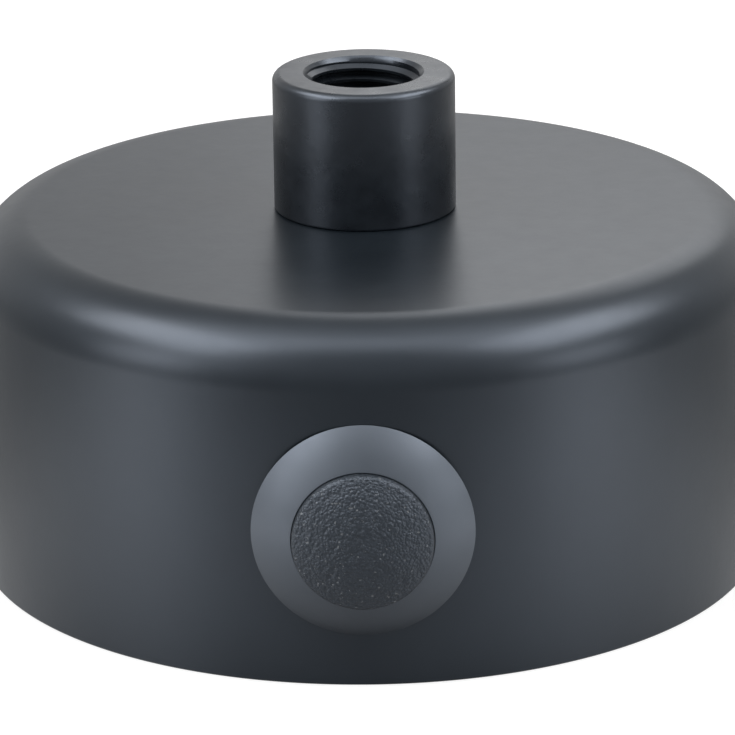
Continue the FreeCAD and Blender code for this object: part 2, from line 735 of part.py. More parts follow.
def lens(radius, rise, base):
    """Solid cap of a sphere that stands on a flat disc."""
    ball = (radius ** 2 + rise ** 2) / (2 * rise)
    halfway = radius / 2
    middle = base + rise - ball + math.sqrt(ball ** 2 - halfway ** 2)
    arc = Part.Arc(
        Vector(radius, 0, base), Vector(halfway, 0, middle), Vector(0, 0, base + rise)
    ).toShape()
    down = Part.LineSegment(Vector(0, 0, base + rise), Vector(0, 0, base)).toShape()
    across = Part.LineSegment(Vector(0, 0, base), Vector(radius, 0, base)).toShape()
    section = Part.Face(Part.Wire([arc, down, across]))
    return section.revolve(Vector(0, 0, 0), Vector(0, 0, 1), 360)


def switch_button():
    """Hollow button: crowned face, skirt, notched flange and a socket for the plunger."""
    ceiling = BUTTON_RIM - BUTTON_FACE
    points = [
        (0, ceiling),
        (SKIRT_INSIDE, ceiling),
        (SKIRT_INSIDE, FLANGE_BACK),
        (CAVITY - SLIDE_GAP, FLANGE_BACK),
        (CAVITY - SLIDE_GAP, FLANGE_FRONT),
        (BUTTON_RADIUS, FLANGE_FRONT),
        (BUTTON_RADIUS, BUTTON_RIM),
        (0, BUTTON_RIM),
    ]
    cap = turned(points, [0, 0, 0, 0, 0, 0, BUTTON_EDGE, 0])
    cap = cap.fuse(lens(BUTTON_RADIUS - BUTTON_EDGE, BUTTON_CROWN, BUTTON_RIM - FIT_PLAY))
    socket = POST_RADIUS + FIT_PLAY
    cap = cap.fuse(tube(socket, socket + SOCKET_WALL, PLUNGER_FRONT + FIT_PLAY, ceiling + FIT_PLAY))
    reach = GUIDE_INSIDE - SLIDE_GAP
    half = GUIDE_WIDTH / 2 + SLIDE_GAP
    notch = block((reach, -half, FLANGE_BACK), (CAVITY, half, FLANGE_FRONT))
    for angle in guide_angles():
        cap = cap.cut(spun(notch, angle))
    return at_switch(cap)


def crown_teeth(inside, outside):
    """Ring of saw teeth on Z: each rises on a helical ramp from zero and drops sheer."""
    path = Part.Wire(Part.makeHelix(LEAD, TOOTH_HEIGHT * (1 + RAMP_RUN), outside).Edges)
    corners = [
        Vector(inside - RAMP_OVERCUT, 0, 0),
        Vector(outside + RAMP_OVERCUT, 0, 0),
        Vector(outside + RAMP_OVERCUT, 0, LEAD / 3),
        Vector(inside - RAMP_OVERCUT, 0, LEAD / 3),
    ]
    section = Part.makePolygon(corners + corners[:1])
    waste = path.makePipeShell([section], True, True)
    lead_in = RAMP_RUN / 2
    waste = moved(spun(waste, -RAMP_ANGLE * lead_in), 0, 0, -TOOTH_HEIGHT * lead_in)
    blank = Part.makeCylinder(
        outside, TOOTH_HEIGHT, Vector(0, 0, 0), Vector(0, 0, 1), RAMP_ANGLE
    )
    tooth = blank.cut(rod(inside, 0, TOOTH_HEIGHT)).cut(waste)
    return [spun(tooth, index * 360.0 / TEETH) for index in range(TEETH)]


def switch_rotor():
    """Ratchet rotor: disc, spigot for the bridge, and saw teeth towards the button."""
    rotor = rod(ROTOR_RADIUS, ROTOR_BACK, ROTOR_FACE)
    rotor = rotor.fuse(rod(SPIGOT_RADIUS, SPIGOT_END, ROTOR_BACK))
    rotor = rotor.cut(rod(ROTOR_BORE, SPIGOT_END, ROTOR_FACE))
    rim = tube(CROWN_INSIDE, PLUNGER_RADIUS, ROTOR_FACE - FIT_PLAY, ROTOR_FACE)
    rotor = rotor.fuse(rim)
    for tooth in crown_teeth(CROWN_INSIDE, PLUNGER_RADIUS):
        rotor = rotor.fuse(moved(tooth, 0, 0, ROTOR_FACE))
    return at_switch(rotor)


def switch_plunger():
    """Plunger: a roofed ring with saw teeth towards the rotor and a post in the button."""
    plunger = tube(CROWN_INSIDE, PLUNGER_RADIUS, FLANGE_BACK, ROOF)
    plunger = plunger.fuse(rod(PLUNGER_RADIUS, ROOF, PLUNGER_FRONT))
    plunger = plunger.fuse(rod(POST_RADIUS, PLUNGER_FRONT, PLUNGER_FRONT + POST_LENGTH))
    for tooth in crown_teeth(CROWN_INSIDE, PLUNGER_RADIUS):
        hanging = tooth.copy()
        hanging.rotate(Vector(0, 0, 0), Vector(1, 0, 0), 180)
        hanging = moved(spun(hanging, PLUNGER_TURN + RAMP_ANGLE), 0, 0, FLANGE_BACK)
        plunger = plunger.fuse(hanging)
    return at_switch(plunger.removeSplitter())


def return_spring():
    """Coil spring in the post, between the cover and the roof of the plunger."""
    radius = SPINDLE_BORE - SPRING_GAP - SPRING_WIRE
    low = COVER_FRONT + SPRING_WIRE + FIT_PLAY
    high = ROOF - SPRING_WIRE - FIT_PLAY
    path = Part.Wire(Part.makeLongHelix((high - low) / SPRING_TURNS, high - low, radius).Edges)
    circle = Part.makeCircle(SPRING_WIRE, Vector(radius, 0, 0), Vector(0, 1, 0))
    wire = path.makePipeShell([Part.Wire(circle)], True, True)
    return at_switch(moved(wire, 0, 0, low))


def contact_bridge():
    """Bronze ring on the rotor's spigot with two ears that bridge the contacts."""
    inside = SPIGOT_RADIUS + FIT_PLAY
    ring = tube(inside, inside + BRIDGE_RING, BRIDGE_BACK, ROTOR_BACK)
    ears = tube(inside, ROTOR_RADIUS, BRIDGE_BACK, ROTOR_BACK)
    half = BRIDGE_BAR / 2
    ears = ears.common(
        block((-ROTOR_RADIUS, -half, BRIDGE_BACK), (ROTOR_RADIUS, half, ROTOR_BACK))
    )
    return at_switch(ring.fuse(ears).removeSplitter())


def switch_cover():
    """Cover plugged into the housing, with the tubular post the rotor turns on."""
    points = [
        (0, COVER_BACK),
        (HOUSING_RADIUS, COVER_BACK),
        (HOUSING_RADIUS, HOUSING_BACK),
        (CAVITY - FIT_PLAY, HOUSING_BACK),
        (CAVITY - FIT_PLAY, COVER_FRONT),
        (SPIGOT_RADIUS, COVER_FRONT),
        (SPIGOT_RADIUS, SPIGOT_END - ROTOR_PLAY),
        (SPINDLE_RADIUS, SPIGOT_END - ROTOR_PLAY),
        (SPINDLE_RADIUS, SPINDLE_END),
        (SPINDLE_BORE, SPINDLE_END),
        (SPINDLE_BORE, COVER_FRONT),
        (0, COVER_FRONT),
    ]
    cover = turned(points, [0, HEAD_EDGE, 0, 0, 0, 0, 0, 0, 0, 0, 0, 0])
    half = CONTACT_WIDTH / 2
    inner = WEB_OUTSIDE - CONTACT_THICKNESS - CONTACT_EDGE
    for angle in (0, 180):
        island = block(
            (SPIGOT_RADIUS + FIT_PLAY, -half, COVER_FRONT), (inner - FIT_PLAY, half, LEG_BACK)
        )
        cover = cover.fuse(spun(island, angle))
        slot = block(
            (inner - FIT_PLAY, -half - FIT_PLAY, COVER_BACK),
            (WEB_OUTSIDE + FIT_PLAY, half + FIT_PLAY, COVER_FRONT),
        )
        cover = cover.cut(spun(slot, angle))
        hole = rod(CONTACT_CORE, COVER_BACK, COVER_FRONT)
        cover = cover.cut(spun(moved(hole, CONTACT_SCREW_SPOT, 0, 0), angle))
    for spot in (-COVER_SCREW_SPOT, COVER_SCREW_SPOT):
        hole = rod(COVER_CORE + SCREW_THREAD, COVER_BACK, COVER_FRONT)
        cover = cover.cut(moved(hole, 0, spot, 0))
    return at_switch(cover)


def fixed_contact(angle):
    """Brass strip: inner leg with a rivet, web through the cover, outer leg for the wire."""
    inner = CONTACT_SCREW_SPOT - CONTACT_HEAD
    rivet = (SPIGOT_RADIUS + ROTOR_RADIUS) / 2
    path = [
        Vector(rivet - CONTACT_RIVET, 0, LEG_FRONT),
        Vector(WEB_OUTSIDE, 0, LEG_FRONT),
        Vector(WEB_OUTSIDE, 0, FOOT_BACK),
        Vector(inner, 0, FOOT_BACK),
    ]
    strip = bent_strip(path[::-1], CONTACT_THICKNESS, CONTACT_WIDTH, CONTACT_EDGE)
    stud = rod(CONTACT_RIVET, LEG_FRONT - FIT_PLAY, LEG_FRONT + RIVET_HEIGHT)
    strip = strip.fuse(moved(stud, rivet, 0, 0))
    strip = strip.cut(moved(rod(CONTACT_CORE, FOOT_BACK, COVER_BACK), CONTACT_SCREW_SPOT, 0, 0))
    return at_switch(spun(strip, angle))


def contact_screw(angle):
    """Screw that clamps a wire on the outer leg of a contact."""
    screw = slotted_screw(CONTACT_CORE, CONTACT_SCREW_LENGTH, CONTACT_HEAD, CONTACT_HEAD_HEIGHT)
    screw = pointed(screw, (0, 0, -1), CONTACT_SCREW_SPOT, 0, FOOT_BACK)
    return at_switch(spun(screw, angle))


def cover_screws():
    """The two screws that hold the cover to the bosses of the housing."""
    length = COVER_FLANGE + COVER_PLUG + COVER_BOSS_HEIGHT - FIT_PLAY
    screw = slotted_screw(COVER_CORE, length, COVER_HEAD, COVER_HEAD_HEIGHT)
    pair = [
        pointed(screw, (0, 0, -1), 0, spot, COVER_BACK)
        for spot in (-COVER_SCREW_SPOT, COVER_SCREW_SPOT)
    ]
    return at_switch(Part.makeCompound(pair))


def all_parts():
    """Every piece under its own name."""
    parts = {
        "rose_cup": rose_cup(),
        "neck_sleeve": neck_sleeve(),
        "threaded_nipple": threaded_nipple(),
        "nipple_lock_washer": nipple_lock_washer(),
        "nipple_lock_nut": nipple_lock_nut(),
        "mounting_bracket": mounting_bracket(),
        "side_screw_left": side_screw(-1),
        "side_screw_right": side_screw(1),
        "earth_screw": earth_screw(),
        "earth_washer": earth_washer(),
        "terminal_block_body": terminal_block_body(),
        "clamp_screws": clamp_screws(),
        "block_screws": block_screws(),
        "switch_ring_nut": switch_ring_nut(),
        "switch_washer": switch_washer(),
        "switch_housing": switch_housing(),
        "switch_button": switch_button(),
        "switch_plunger": switch_plunger(),
        "return_spring": return_spring(),
        "switch_rotor": switch_rotor(),
        "contact_bridge": contact_bridge(),
        "switch_cover": switch_cover(),
        "cover_screws": cover_screws(),
        "fixed_contact_left": fixed_contact(180),
        "fixed_contact_right": fixed_contact(0),
        "contact_screw_left": contact_screw(180),
        "contact_screw_right": contact_screw(0),
    }
    for index, x in enumerate(pole_places()):
        parts[f"terminal_tube_{index + 1}"] = terminal_tube(x)
    return parts


os.makedirs("parts", exist_ok=True)
for name, shape in all_parts().items():
    shape.exportStep(f"parts/{name}.step")
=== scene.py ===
"""Looks of a ceiling rose with a threaded neck and a push button in its side.

Sizes are in millimetres here and become metres when a mesh is made. The frame is that of
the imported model: the origin is the centre of the rim, +Z runs to the neck and the push
button faces -Y.
"""

import logging
import math
from dataclasses import dataclass, field
from enum import Enum
from functools import reduce
from typing import Callable, Optional, Sequence, Union

import bmesh
import bpy
import numpy as np
from mathutils import Matrix, Vector

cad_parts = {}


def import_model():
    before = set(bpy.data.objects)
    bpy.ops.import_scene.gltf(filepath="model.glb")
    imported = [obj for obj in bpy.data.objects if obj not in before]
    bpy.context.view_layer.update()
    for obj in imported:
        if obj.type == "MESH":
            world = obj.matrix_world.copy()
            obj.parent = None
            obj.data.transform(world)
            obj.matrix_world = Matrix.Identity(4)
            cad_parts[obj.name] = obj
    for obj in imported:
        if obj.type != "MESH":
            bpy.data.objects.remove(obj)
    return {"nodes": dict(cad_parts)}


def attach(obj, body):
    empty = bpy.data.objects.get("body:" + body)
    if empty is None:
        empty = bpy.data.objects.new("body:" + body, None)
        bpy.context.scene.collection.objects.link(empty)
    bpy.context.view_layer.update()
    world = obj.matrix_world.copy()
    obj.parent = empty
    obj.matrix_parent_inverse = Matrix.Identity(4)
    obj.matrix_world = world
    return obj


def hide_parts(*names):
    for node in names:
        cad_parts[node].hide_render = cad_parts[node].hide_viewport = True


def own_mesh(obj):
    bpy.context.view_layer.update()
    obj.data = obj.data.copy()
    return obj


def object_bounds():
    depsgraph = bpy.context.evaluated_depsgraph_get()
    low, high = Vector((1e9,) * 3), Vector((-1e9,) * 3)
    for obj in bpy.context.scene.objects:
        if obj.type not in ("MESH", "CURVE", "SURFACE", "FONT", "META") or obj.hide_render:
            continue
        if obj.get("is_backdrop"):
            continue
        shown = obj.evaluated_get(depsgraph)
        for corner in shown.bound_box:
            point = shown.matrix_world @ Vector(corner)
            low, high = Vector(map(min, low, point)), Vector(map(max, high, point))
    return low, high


Array = np.ndarray
Socket = bpy.types.NodeSocket
Node = bpy.types.Node
Piece = bpy.types.Object
Material = bpy.types.Material
Colour = tuple[float, float, float]
Place = tuple[float, float, float]
Limit = Callable[[Array], Array]

MM = 0.001
WELD = 2e-7  # metres; points closer than this become one
SHARP_BEND = 32.0  # degrees; edges bent by more stay sharp
FULL_TURN = 2 * math.pi
SWITCH_HEIGHT = 13.8
SCREW_HEIGHT = 7.0
THREAD_MARKS = 4
RANGE = ("From Min", "From Max", "To Min", "To Max")

log = logging.getLogger("ceiling_rose")


class Body(Enum):
    """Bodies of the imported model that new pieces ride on."""

    ROSE = "rose"
    BUTTON = "push_button"


class Slot(Enum):
    """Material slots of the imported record."""

    CUP = "cup_coat"
    NECK = "neck_coat"
    RING = "ring_satin"
    BUTTON = "button_grain"
    SCREW = "black_screw"
    ZINC = "zinc_steel"
    SPRING = "spring_steel"
    BRASS = "brass"
    BRONZE = "bronze"
    TERMINAL = "terminal_white"
    HOUSING = "housing_black"
    MECHANISM = "mechanism_natural"


class Axis(Enum):
    """Line that a turned piece was machined or moulded about."""

    ROSE = "through the neck"
    SWITCH = "through the push button"
    SIDE = "through the side screws"


# Shapes


@dataclass
class Shell:
    """Points in millimetres and the faces that join them."""

    points: Array = field(default_factory=lambda: np.zeros((0, 3)))
    faces: list[list[int]] = field(default_factory=list)

    def add_grid(self, grid: Array, climb: int = 0) -> None:
        """Adds the four-sided faces between neighbours in a grid, which closes on itself.

        Args:
            grid: points, rows by columns by three, whose last column meets the first.
            climb: rows that the first column stands higher when it is met again, as on a
                helix.
        """
        rows, columns = grid.shape[:2]
        index = np.arange(rows * columns).reshape(rows, columns) + len(self.points)
        inner = [index[:-1, :-1], index[:-1, 1:], index[1:, 1:], index[1:, :-1]]
        seam = [
            index[: rows - 1 - climb, -1],
            index[climb : rows - 1, 0],
            index[climb + 1 : rows, 0],
            index[1 : rows - climb, -1],
        ]
        for patch in (inner, seam):
            self.faces += np.stack(patch, -1).reshape(-1, 4).tolist()
        self.points = np.vstack([self.points, grid.reshape(-1, 3)])

    def add(self, other: "Shell") -> None:
        """Adds another shell.

        Args:
            other: the shell whose points and faces are added.
        """
        offset = len(self.points)
        self.faces += (np.array(other.faces) + offset).tolist()
        self.points = np.vstack([self.points, other.points])

    def placed(self, matrix: Matrix) -> "Shell":
        """Copy of the shell, turned and moved in millimetres."""
        turn = np.array(matrix)
        return Shell(self.points @ turn[:3, :3].T + turn[:3, 3], list(self.faces))

    def piece(self, name: str) -> Piece:
        """Makes a closed mesh object, in metres, with its faces outward.

        Args:
            name: name of the object.

        Returns:
            The object, linked to the scene.
        """
        mesh = bpy.data.meshes.new(name)
        mesh.from_pydata((self.points * MM).tolist(), [], self.faces)
        soup = bmesh.new()
        soup.from_mesh(mesh)
        bmesh.ops.remove_doubles(soup, verts=soup.verts, dist=WELD)
        bmesh.ops.recalc_face_normals(soup, faces=soup.faces)
        soup.to_mesh(mesh)
        soup.free()
        made = bpy.data.objects.new(name, mesh)
        bpy.context.scene.collection.objects.link(made)
        smooth(made)
        return made


def smooth(piece: Piece) -> None:
    """Shades a piece smooth, apart from its sharp edges.

    Args:
        piece: the piece.
    """
    mesh = piece.data
    mesh.polygons.foreach_set("use_smooth", np.ones(len(mesh.polygons), bool))
    mesh.set_sharp_from_angle(angle=math.radians(SHARP_BEND))
    mesh.update()


def cut(piece: Piece, cutters: Sequence[Piece]) -> Piece:
    """Cuts other pieces out of one, keeps the result as its mesh and drops the cutters.

    Args:
        piece: what is cut.
        cutters: what is taken away.

    Returns:
        The cut piece.
    """
    for cutter in cutters:
        step = piece.modifiers.new("cut", "BOOLEAN")
        step.operation = "DIFFERENCE"
        step.solver = "EXACT"
        step.object = cutter
    ready = piece.evaluated_get(bpy.context.evaluated_depsgraph_get())
    mesh = bpy.data.meshes.new_from_object(ready)
    piece.modifiers.clear()
    piece.data = mesh
    mesh.name = piece.name
    for cutter in cutters:
        bpy.data.objects.remove(cutter)
    smooth(piece)
    return piece


def filleted(
    corners: Sequence[tuple[float, float]], radii: Sequence[float], steps: int
) -> Array:
    """Open line through the corners with some of them rounded.

    A rounded corner is an arc between the two points where a circle of that radius
    touches the lines: its centre lies on the line that halves the corner, and the unit
    vector from the centre turns evenly from one touching point to the other.

    Args:
        corners: (radius, height) of each corner.
        radii: radius at each corner, zero where it stays sharp.
        steps: spans of each arc.

    Returns:
        Points of the line, n by two.
    """
    spots = np.array(corners, float)
    line = [spots[:1]]
    for before, corner, after, radius in zip(spots, spots[1:], spots[2:], radii[1:]):
        if radius <= 0:
            line.append(corner[None])
            continue
        back = (before - corner) / np.linalg.norm(before - corner)
        ahead = (after - corner) / np.linalg.norm(after - corner)
        half = math.acos(float(np.clip(back @ ahead, -1, 1))) / 2
        middle = (back + ahead) / np.linalg.norm(back + ahead)
        centre = corner + middle * radius / math.sin(half)
        first = corner + back * radius / math.tan(half) - centre
        last = corner + ahead * radius / math.tan(half) - centre
        sweep = math.pi - 2 * half
        share = np.linspace(0, 1, steps + 1)[:, None]
        blend = np.sin((1 - share) * sweep) * first + np.sin(share * sweep) * last
        line.append(centre + blend / math.sin(sweep))
    line.append(spots[-1:])
    return np.vstack(line)


def angles(columns: int) -> Array:
    """Even angles of one turn, starting at zero."""
    return np.arange(columns) * FULL_TURN / columns


def around(radius: Array, angle: Array, height: Array) -> Array:
    """Points about Z.

    X and Y are the radius times the cosine and the sine of the angle, Z is the height.

    Args:
        radius: radii.
        angle: angles, which spread over the radii as numpy does.
        height: heights, which spread over both.

    Returns:
        Points, three numbers in the last direction.
    """
    spots = np.broadcast_arrays(radius * np.cos(angle), radius * np.sin(angle), height)
    return np.stack(spots, -1)


def turned(line: Array, columns: int) -> Array:
    """Grid of a (radius, height) line turned about Z by even angles."""
    return around(line[:, :1], angles(columns), line[:, 1:])


def turned_shell(line: Array, columns: int) -> Shell:
    """Shell of one line turned about Z.

    Args:
        line: (radius, height) points, n by two.
        columns: points in a turn.

    Returns:
        The shell.
    """
    shell = Shell()
    shell.add_grid(turned(line, columns))
    return shell


def box_shell(low: Sequence[float], high: Sequence[float]) -> Shell:
    """Box between two corners: a closed row of four corners, carried up, and its ends.

    Args:
        low: lowest corner.
        high: highest corner.

    Returns:
        The shell.
    """
    x0, y0, z0 = low
    x1, y1, z1 = high
    row = np.array([(x0, y0), (x1, y0), (x1, y1), (x0, y1)])
    shell = Shell()
    shell.add_grid(np.stack([np.column_stack([row, np.full(4, z)]) for z in (z0, z1)]))
    shell.faces += [[3, 2, 1, 0], [4, 5, 6, 7]]
    return shell


def rod_shell(radius: float, ends: tuple[float, float], columns: int) -> Shell:
    """Plain cylinder on Z with closed ends."""
    low, high = ends
    return turned_shell(np.array([(0, low), (radius, low), (radius, high), (0, high)]), columns)


def at_switch() -> Matrix:
    """Swings a shape built outward along +Z onto the axis of the switch."""
    return Matrix.Translation((0, 0, SWITCH_HEIGHT)) @ Matrix.Rotation(math.pi / 2, 4, "X")


def pointing(direction: Sequence[float], spot: Sequence[float]) -> Matrix:
    """Swings +Z to a direction and moves the origin to a spot."""
    turn = Vector((0, 0, 1)).rotation_difference(Vector(direction)).to_matrix().to_4x4()
    return Matrix.Translation(spot) @ turn


@dataclass(frozen=True)
class Thread:
    """Right-hand vee thread with narrow flats at its crests and roots."""

    root: float
    crest: float
    pitch: float
    flat: float = 0.12

    def grid(
        self, low: float, high: float, columns: int, limit: Limit, female: bool = False
    ) -> Array:
        """Grid whose rows follow the helix.

        Each row stands at a phase of the pitch and climbs one pitch a turn; heights are
        held between the two ends. The radius goes from root to crest with the phase, and
        stays under the limit on a male thread or over it on a female one.

        Args:
            low: height of the lower end.
            high: height of the upper end.
            columns: points in a turn.
            limit: radius of the bare form at each height.
            female: True for a tapped hole.

        Returns:
            Points, rows by columns by three.
        """
        marks = np.array([self.flat, 0.5 - self.flat, 0.5 + self.flat, 1 - self.flat])
        levels = np.array([0.0, 1.0, 1.0, 0.0])
        turns = math.ceil((high - low) / self.pitch) + 2
        phase = (np.arange(turns)[:, None] + marks).ravel()
        level = np.tile(levels, turns)
        angle = angles(columns)
        height = low + self.pitch * (phase[:, None] - 1 - self.flat + angle / FULL_TURN)
        height = np.clip(height, low, high)
        radius = self.root + (self.crest - self.root) * level[:, None]
        bare = limit(height)
        radius = np.maximum(radius, bare) if female else np.minimum(radius, bare)
        return around(radius, angle, height)


# Finishes


@dataclass
class Wiring:
    """Node tree, emptied at the start, with short ways to add and join its nodes."""

    tree: bpy.types.NodeTree

    def __post_init__(self) -> None:
        """Removes the nodes that a new tree holds."""
        self.tree.nodes.clear()

    def node(self, kind: str, **settings: object) -> Node:
        """Adds a node.

        Args:
            kind: type of the node.
            **settings: its properties.

        Returns:
            The node.
        """
        made = self.tree.nodes.new(kind)
        for key, value in settings.items():
            setattr(made, key, value)
        return made

    def join(self, source: Socket, target: Socket) -> None:
        """Links two sockets."""
        self.tree.links.new(source, target)

    def feed(self, target: Socket, value: object) -> None:
        """Links a socket, or sets a plain value.

        Args:
            target: socket that is fed.
            value: another socket or a plain value.
        """
        if isinstance(value, bpy.types.NodeSocket):
            self.join(value, target)
        else:
            target.default_value = value

    def math(self, operation: str, *values: object) -> Socket:
        """Result of a Math node.

        Args:
            operation: what it does.
            *values: sockets or numbers that it does it to.

        Returns:
            Value socket.
        """
        made = self.node("ShaderNodeMath", operation=operation)
        for target, value in zip(made.inputs, values):
            self.feed(target, value)
        return made.outputs[0]

    def total(self, *parts: Socket) -> Socket:
        """Sum of sockets."""
        return reduce(lambda first, second: self.math("ADD", first, second), parts)

    def weighed(self, first: Socket, share: float, second: Socket) -> Socket:
        """Sum of the first socket by its share and the second by the rest."""
        parts = ((first, share), (second, 1 - share))
        return self.total(*(self.math("MULTIPLY", part, weight) for part, weight in parts))

    def spread(self, value: Socket, *ends: object, **settings: object) -> Socket:
        """Maps a range to another with its ends held.

        Args:
            value: what is mapped.
            *ends: low and high end of the first range, then of the second.
            **settings: properties of the node.

        Returns:
            Value socket.
        """
        made = self.node("ShaderNodeMapRange", **settings)
        for key, end in zip(RANGE, ends):
            self.feed(made.inputs[key], end)
        self.join(value, made.inputs["Value"])
        return made.outputs["Result"]

    def mix(self, share: Socket, first: object, second: object) -> Socket:
        """Number between two by a share.

        Args:
            share: how much the second counts.
            first: number or socket at a share of zero.
            second: number or socket at a share of one.

        Returns:
            Value socket.
        """
        made = self.node("ShaderNodeMix")
        for key, value in (("Factor", share), ("A", first), ("B", second)):
            self.feed(made.inputs[key], value)
        return made.outputs["Result"]

    def parts(self, vector: Socket) -> list[Socket]:
        """X, Y and Z of a vector.

        Args:
            vector: the vector.

        Returns:
            Three value sockets.
        """
        apart = self.node("ShaderNodeSeparateXYZ")
        self.join(vector, apart.inputs[0])
        return list(apart.outputs)

    def vector(self, *parts: object) -> Socket:
        """Vector of X, Y and Z.

        Args:
            *parts: three sockets or numbers.

        Returns:
            Vector socket.
        """
        made = self.node("ShaderNodeCombineXYZ")
        for target, part in zip(made.inputs, parts):
            self.feed(target, part)
        return made.outputs[0]


class Surface(Wiring):
    """Nodes of one material, with patterns that follow its object coordinates."""

    def __init__(self, name: str) -> None:
        """Makes the material with its shader, output and object coordinates.

        Args:
            name: name of the material.
        """
        self.material = bpy.data.materials.new(name)
        self.material.use_nodes = True
        super().__init__(self.material.node_tree)
        self.shader = self.node("ShaderNodeBsdfPrincipled")
        output = self.node("ShaderNodeOutputMaterial")
        self.join(self.shader.outputs[0], output.inputs["Surface"])
        self.place = self.node("ShaderNodeTexCoord").outputs["Object"]

    def noise(
        self, size: float, detail: float, rough: float = 0.5, place: Optional[Socket] = None
    ) -> Socket:
        """Noise from 0 to 1.

        Args:
            size: size of its lumps in millimetres.
            detail: how many finer noises are added.
            rough: how much these count.
            place: coordinates, if they aren't the object's own.

        Returns:
            Value socket.
        """
        made = self.node("ShaderNodeTexNoise")
        made.inputs["Scale"].default_value = 1 / (size * MM)
        made.inputs["Detail"].default_value = detail
        made.inputs["Roughness"].default_value = rough
        self.join(place or self.place, made.inputs["Vector"])
        return made.outputs["Fac"]

    def cells(self, size: float, place: Socket) -> Socket:
        """Distance to the nearest seed of smooth cells.

        Args:
            size: size of the cells in millimetres.
            place: coordinates.

        Returns:
            Value socket.
        """
        made = self.node("ShaderNodeTexVoronoi", feature="SMOOTH_F1")
        numbers = {"Scale": 1 / (size * MM), "Smoothness": 0.35, "Detail": 0, "Roughness": 0}
        for key, number in numbers.items():
            made.inputs[key].default_value = number
        self.join(place, made.inputs["Vector"])
        return made.outputs["Distance"]

    def swirled(self, size: float, reach: float) -> Socket:
        """Object coordinates moved about by a noise.

        Args:
            size: size of the noise's lumps in millimetres.
            reach: longest way that it moves a point along an axis, in millimetres.

        Returns:
            Vector socket.
        """
        swirl = self.node("ShaderNodeTexNoise")
        swirl.inputs["Scale"].default_value = 1 / (size * MM)
        self.join(self.place, swirl.inputs["Vector"])
        moved = self.node("ShaderNodeVectorMath", operation="MULTIPLY_ADD")
        for target, value in zip(
            moved.inputs, (swirl.outputs["Color"], (reach * MM,) * 3, self.place)
        ):
            self.feed(target, value)
        return moved.outputs[0]

    def blend(self, share: Socket, first: object, second: object) -> Socket:
        """Colour between two by a share.

        Args:
            share: how much the second counts.
            first: colour or socket at a share of zero.
            second: colour or socket at a share of one.

        Returns:
            Colour socket.
        """
        made = self.node("ShaderNodeMix", data_type="RGBA")
        self.join(share, made.inputs[0])
        for slot, colour in ((6, first), (7, second)):
            self.feed(made.inputs[slot], (*colour, 1) if isinstance(colour, tuple) else colour)
        return made.outputs[2]

    def toned(self, tone: Socket, low: float, dark: Colour, light: Colour) -> Socket:
        """Colour from dark to light as a tone goes from a low level to one less that."""
        return self.blend(self.spread(tone, low, 1 - low, 0, 1), dark, light)

    def stretched(self, factors: Place) -> Socket:
        """Object coordinates, scaled.

        Args:
            factors: factor along each axis.

        Returns:
            Vector socket.
        """
        made = self.node("ShaderNodeMapping", vector_type="POINT")
        made.inputs["Scale"].default_value = factors
        self.join(self.place, made.inputs["Vector"])
        return made.outputs[0]

    def lathe(self, axis: Axis) -> Socket:
        """Coordinates (radius, 0, travel) about an axis, which follow tool marks.

        The radius is the root of the two squared distances across the axis, and the
        travel is the place along it.

        Args:
            axis: axis of the piece.

        Returns:
            Vector socket in metres.
        """
        x, y, z = self.parts(self.place)
        height = SWITCH_HEIGHT if axis is Axis.SWITCH else SCREW_HEIGHT
        level = z if axis is Axis.ROSE else self.math("SUBTRACT", z, height * MM)
        across, travel = {
            Axis.ROSE: ((x, y), z),
            Axis.SWITCH: ((x, level), y),
            Axis.SIDE: ((y, level), x),
        }[axis]
        squares = self.total(*(self.math("MULTIPLY", part, part) for part in across))
        return self.vector(self.math("SQRT", squares), 0.0, travel)

    def bump(self, height: Socket, depth: float, before: Optional[Socket] = None) -> Socket:
        """Normal bent by a height.

        Args:
            height: height at each place.
            depth: what a height of 1 stands for, in millimetres.
            before: normal that is already bent.

        Returns:
            Vector socket.
        """
        made = self.node("ShaderNodeBump")
        made.inputs["Strength"].default_value = 1.0
        made.inputs["Distance"].default_value = depth * MM
        self.join(height, made.inputs["Height"])
        if before is not None:
            self.join(before, made.inputs["Normal"])
        return made.outputs[0]

    def finish(self, colour: Socket, gloss: Socket, normal: Socket, **fixed: object) -> Material:
        """Joins the patterns to the shader.

        Args:
            colour: base colour.
            gloss: roughness.
            normal: bent normal.
            **fixed: plain values of other inputs, with underscores for the spaces.

        Returns:
            The material.
        """
        moving = {"Base Color": colour, "Roughness": gloss, "Normal": normal}
        plain = {key.replace("_", " "): value for key, value in fixed.items()}
        for key, value in {**moving, **plain}.items():
            self.feed(self.shader.inputs[key], value)
        return self.material


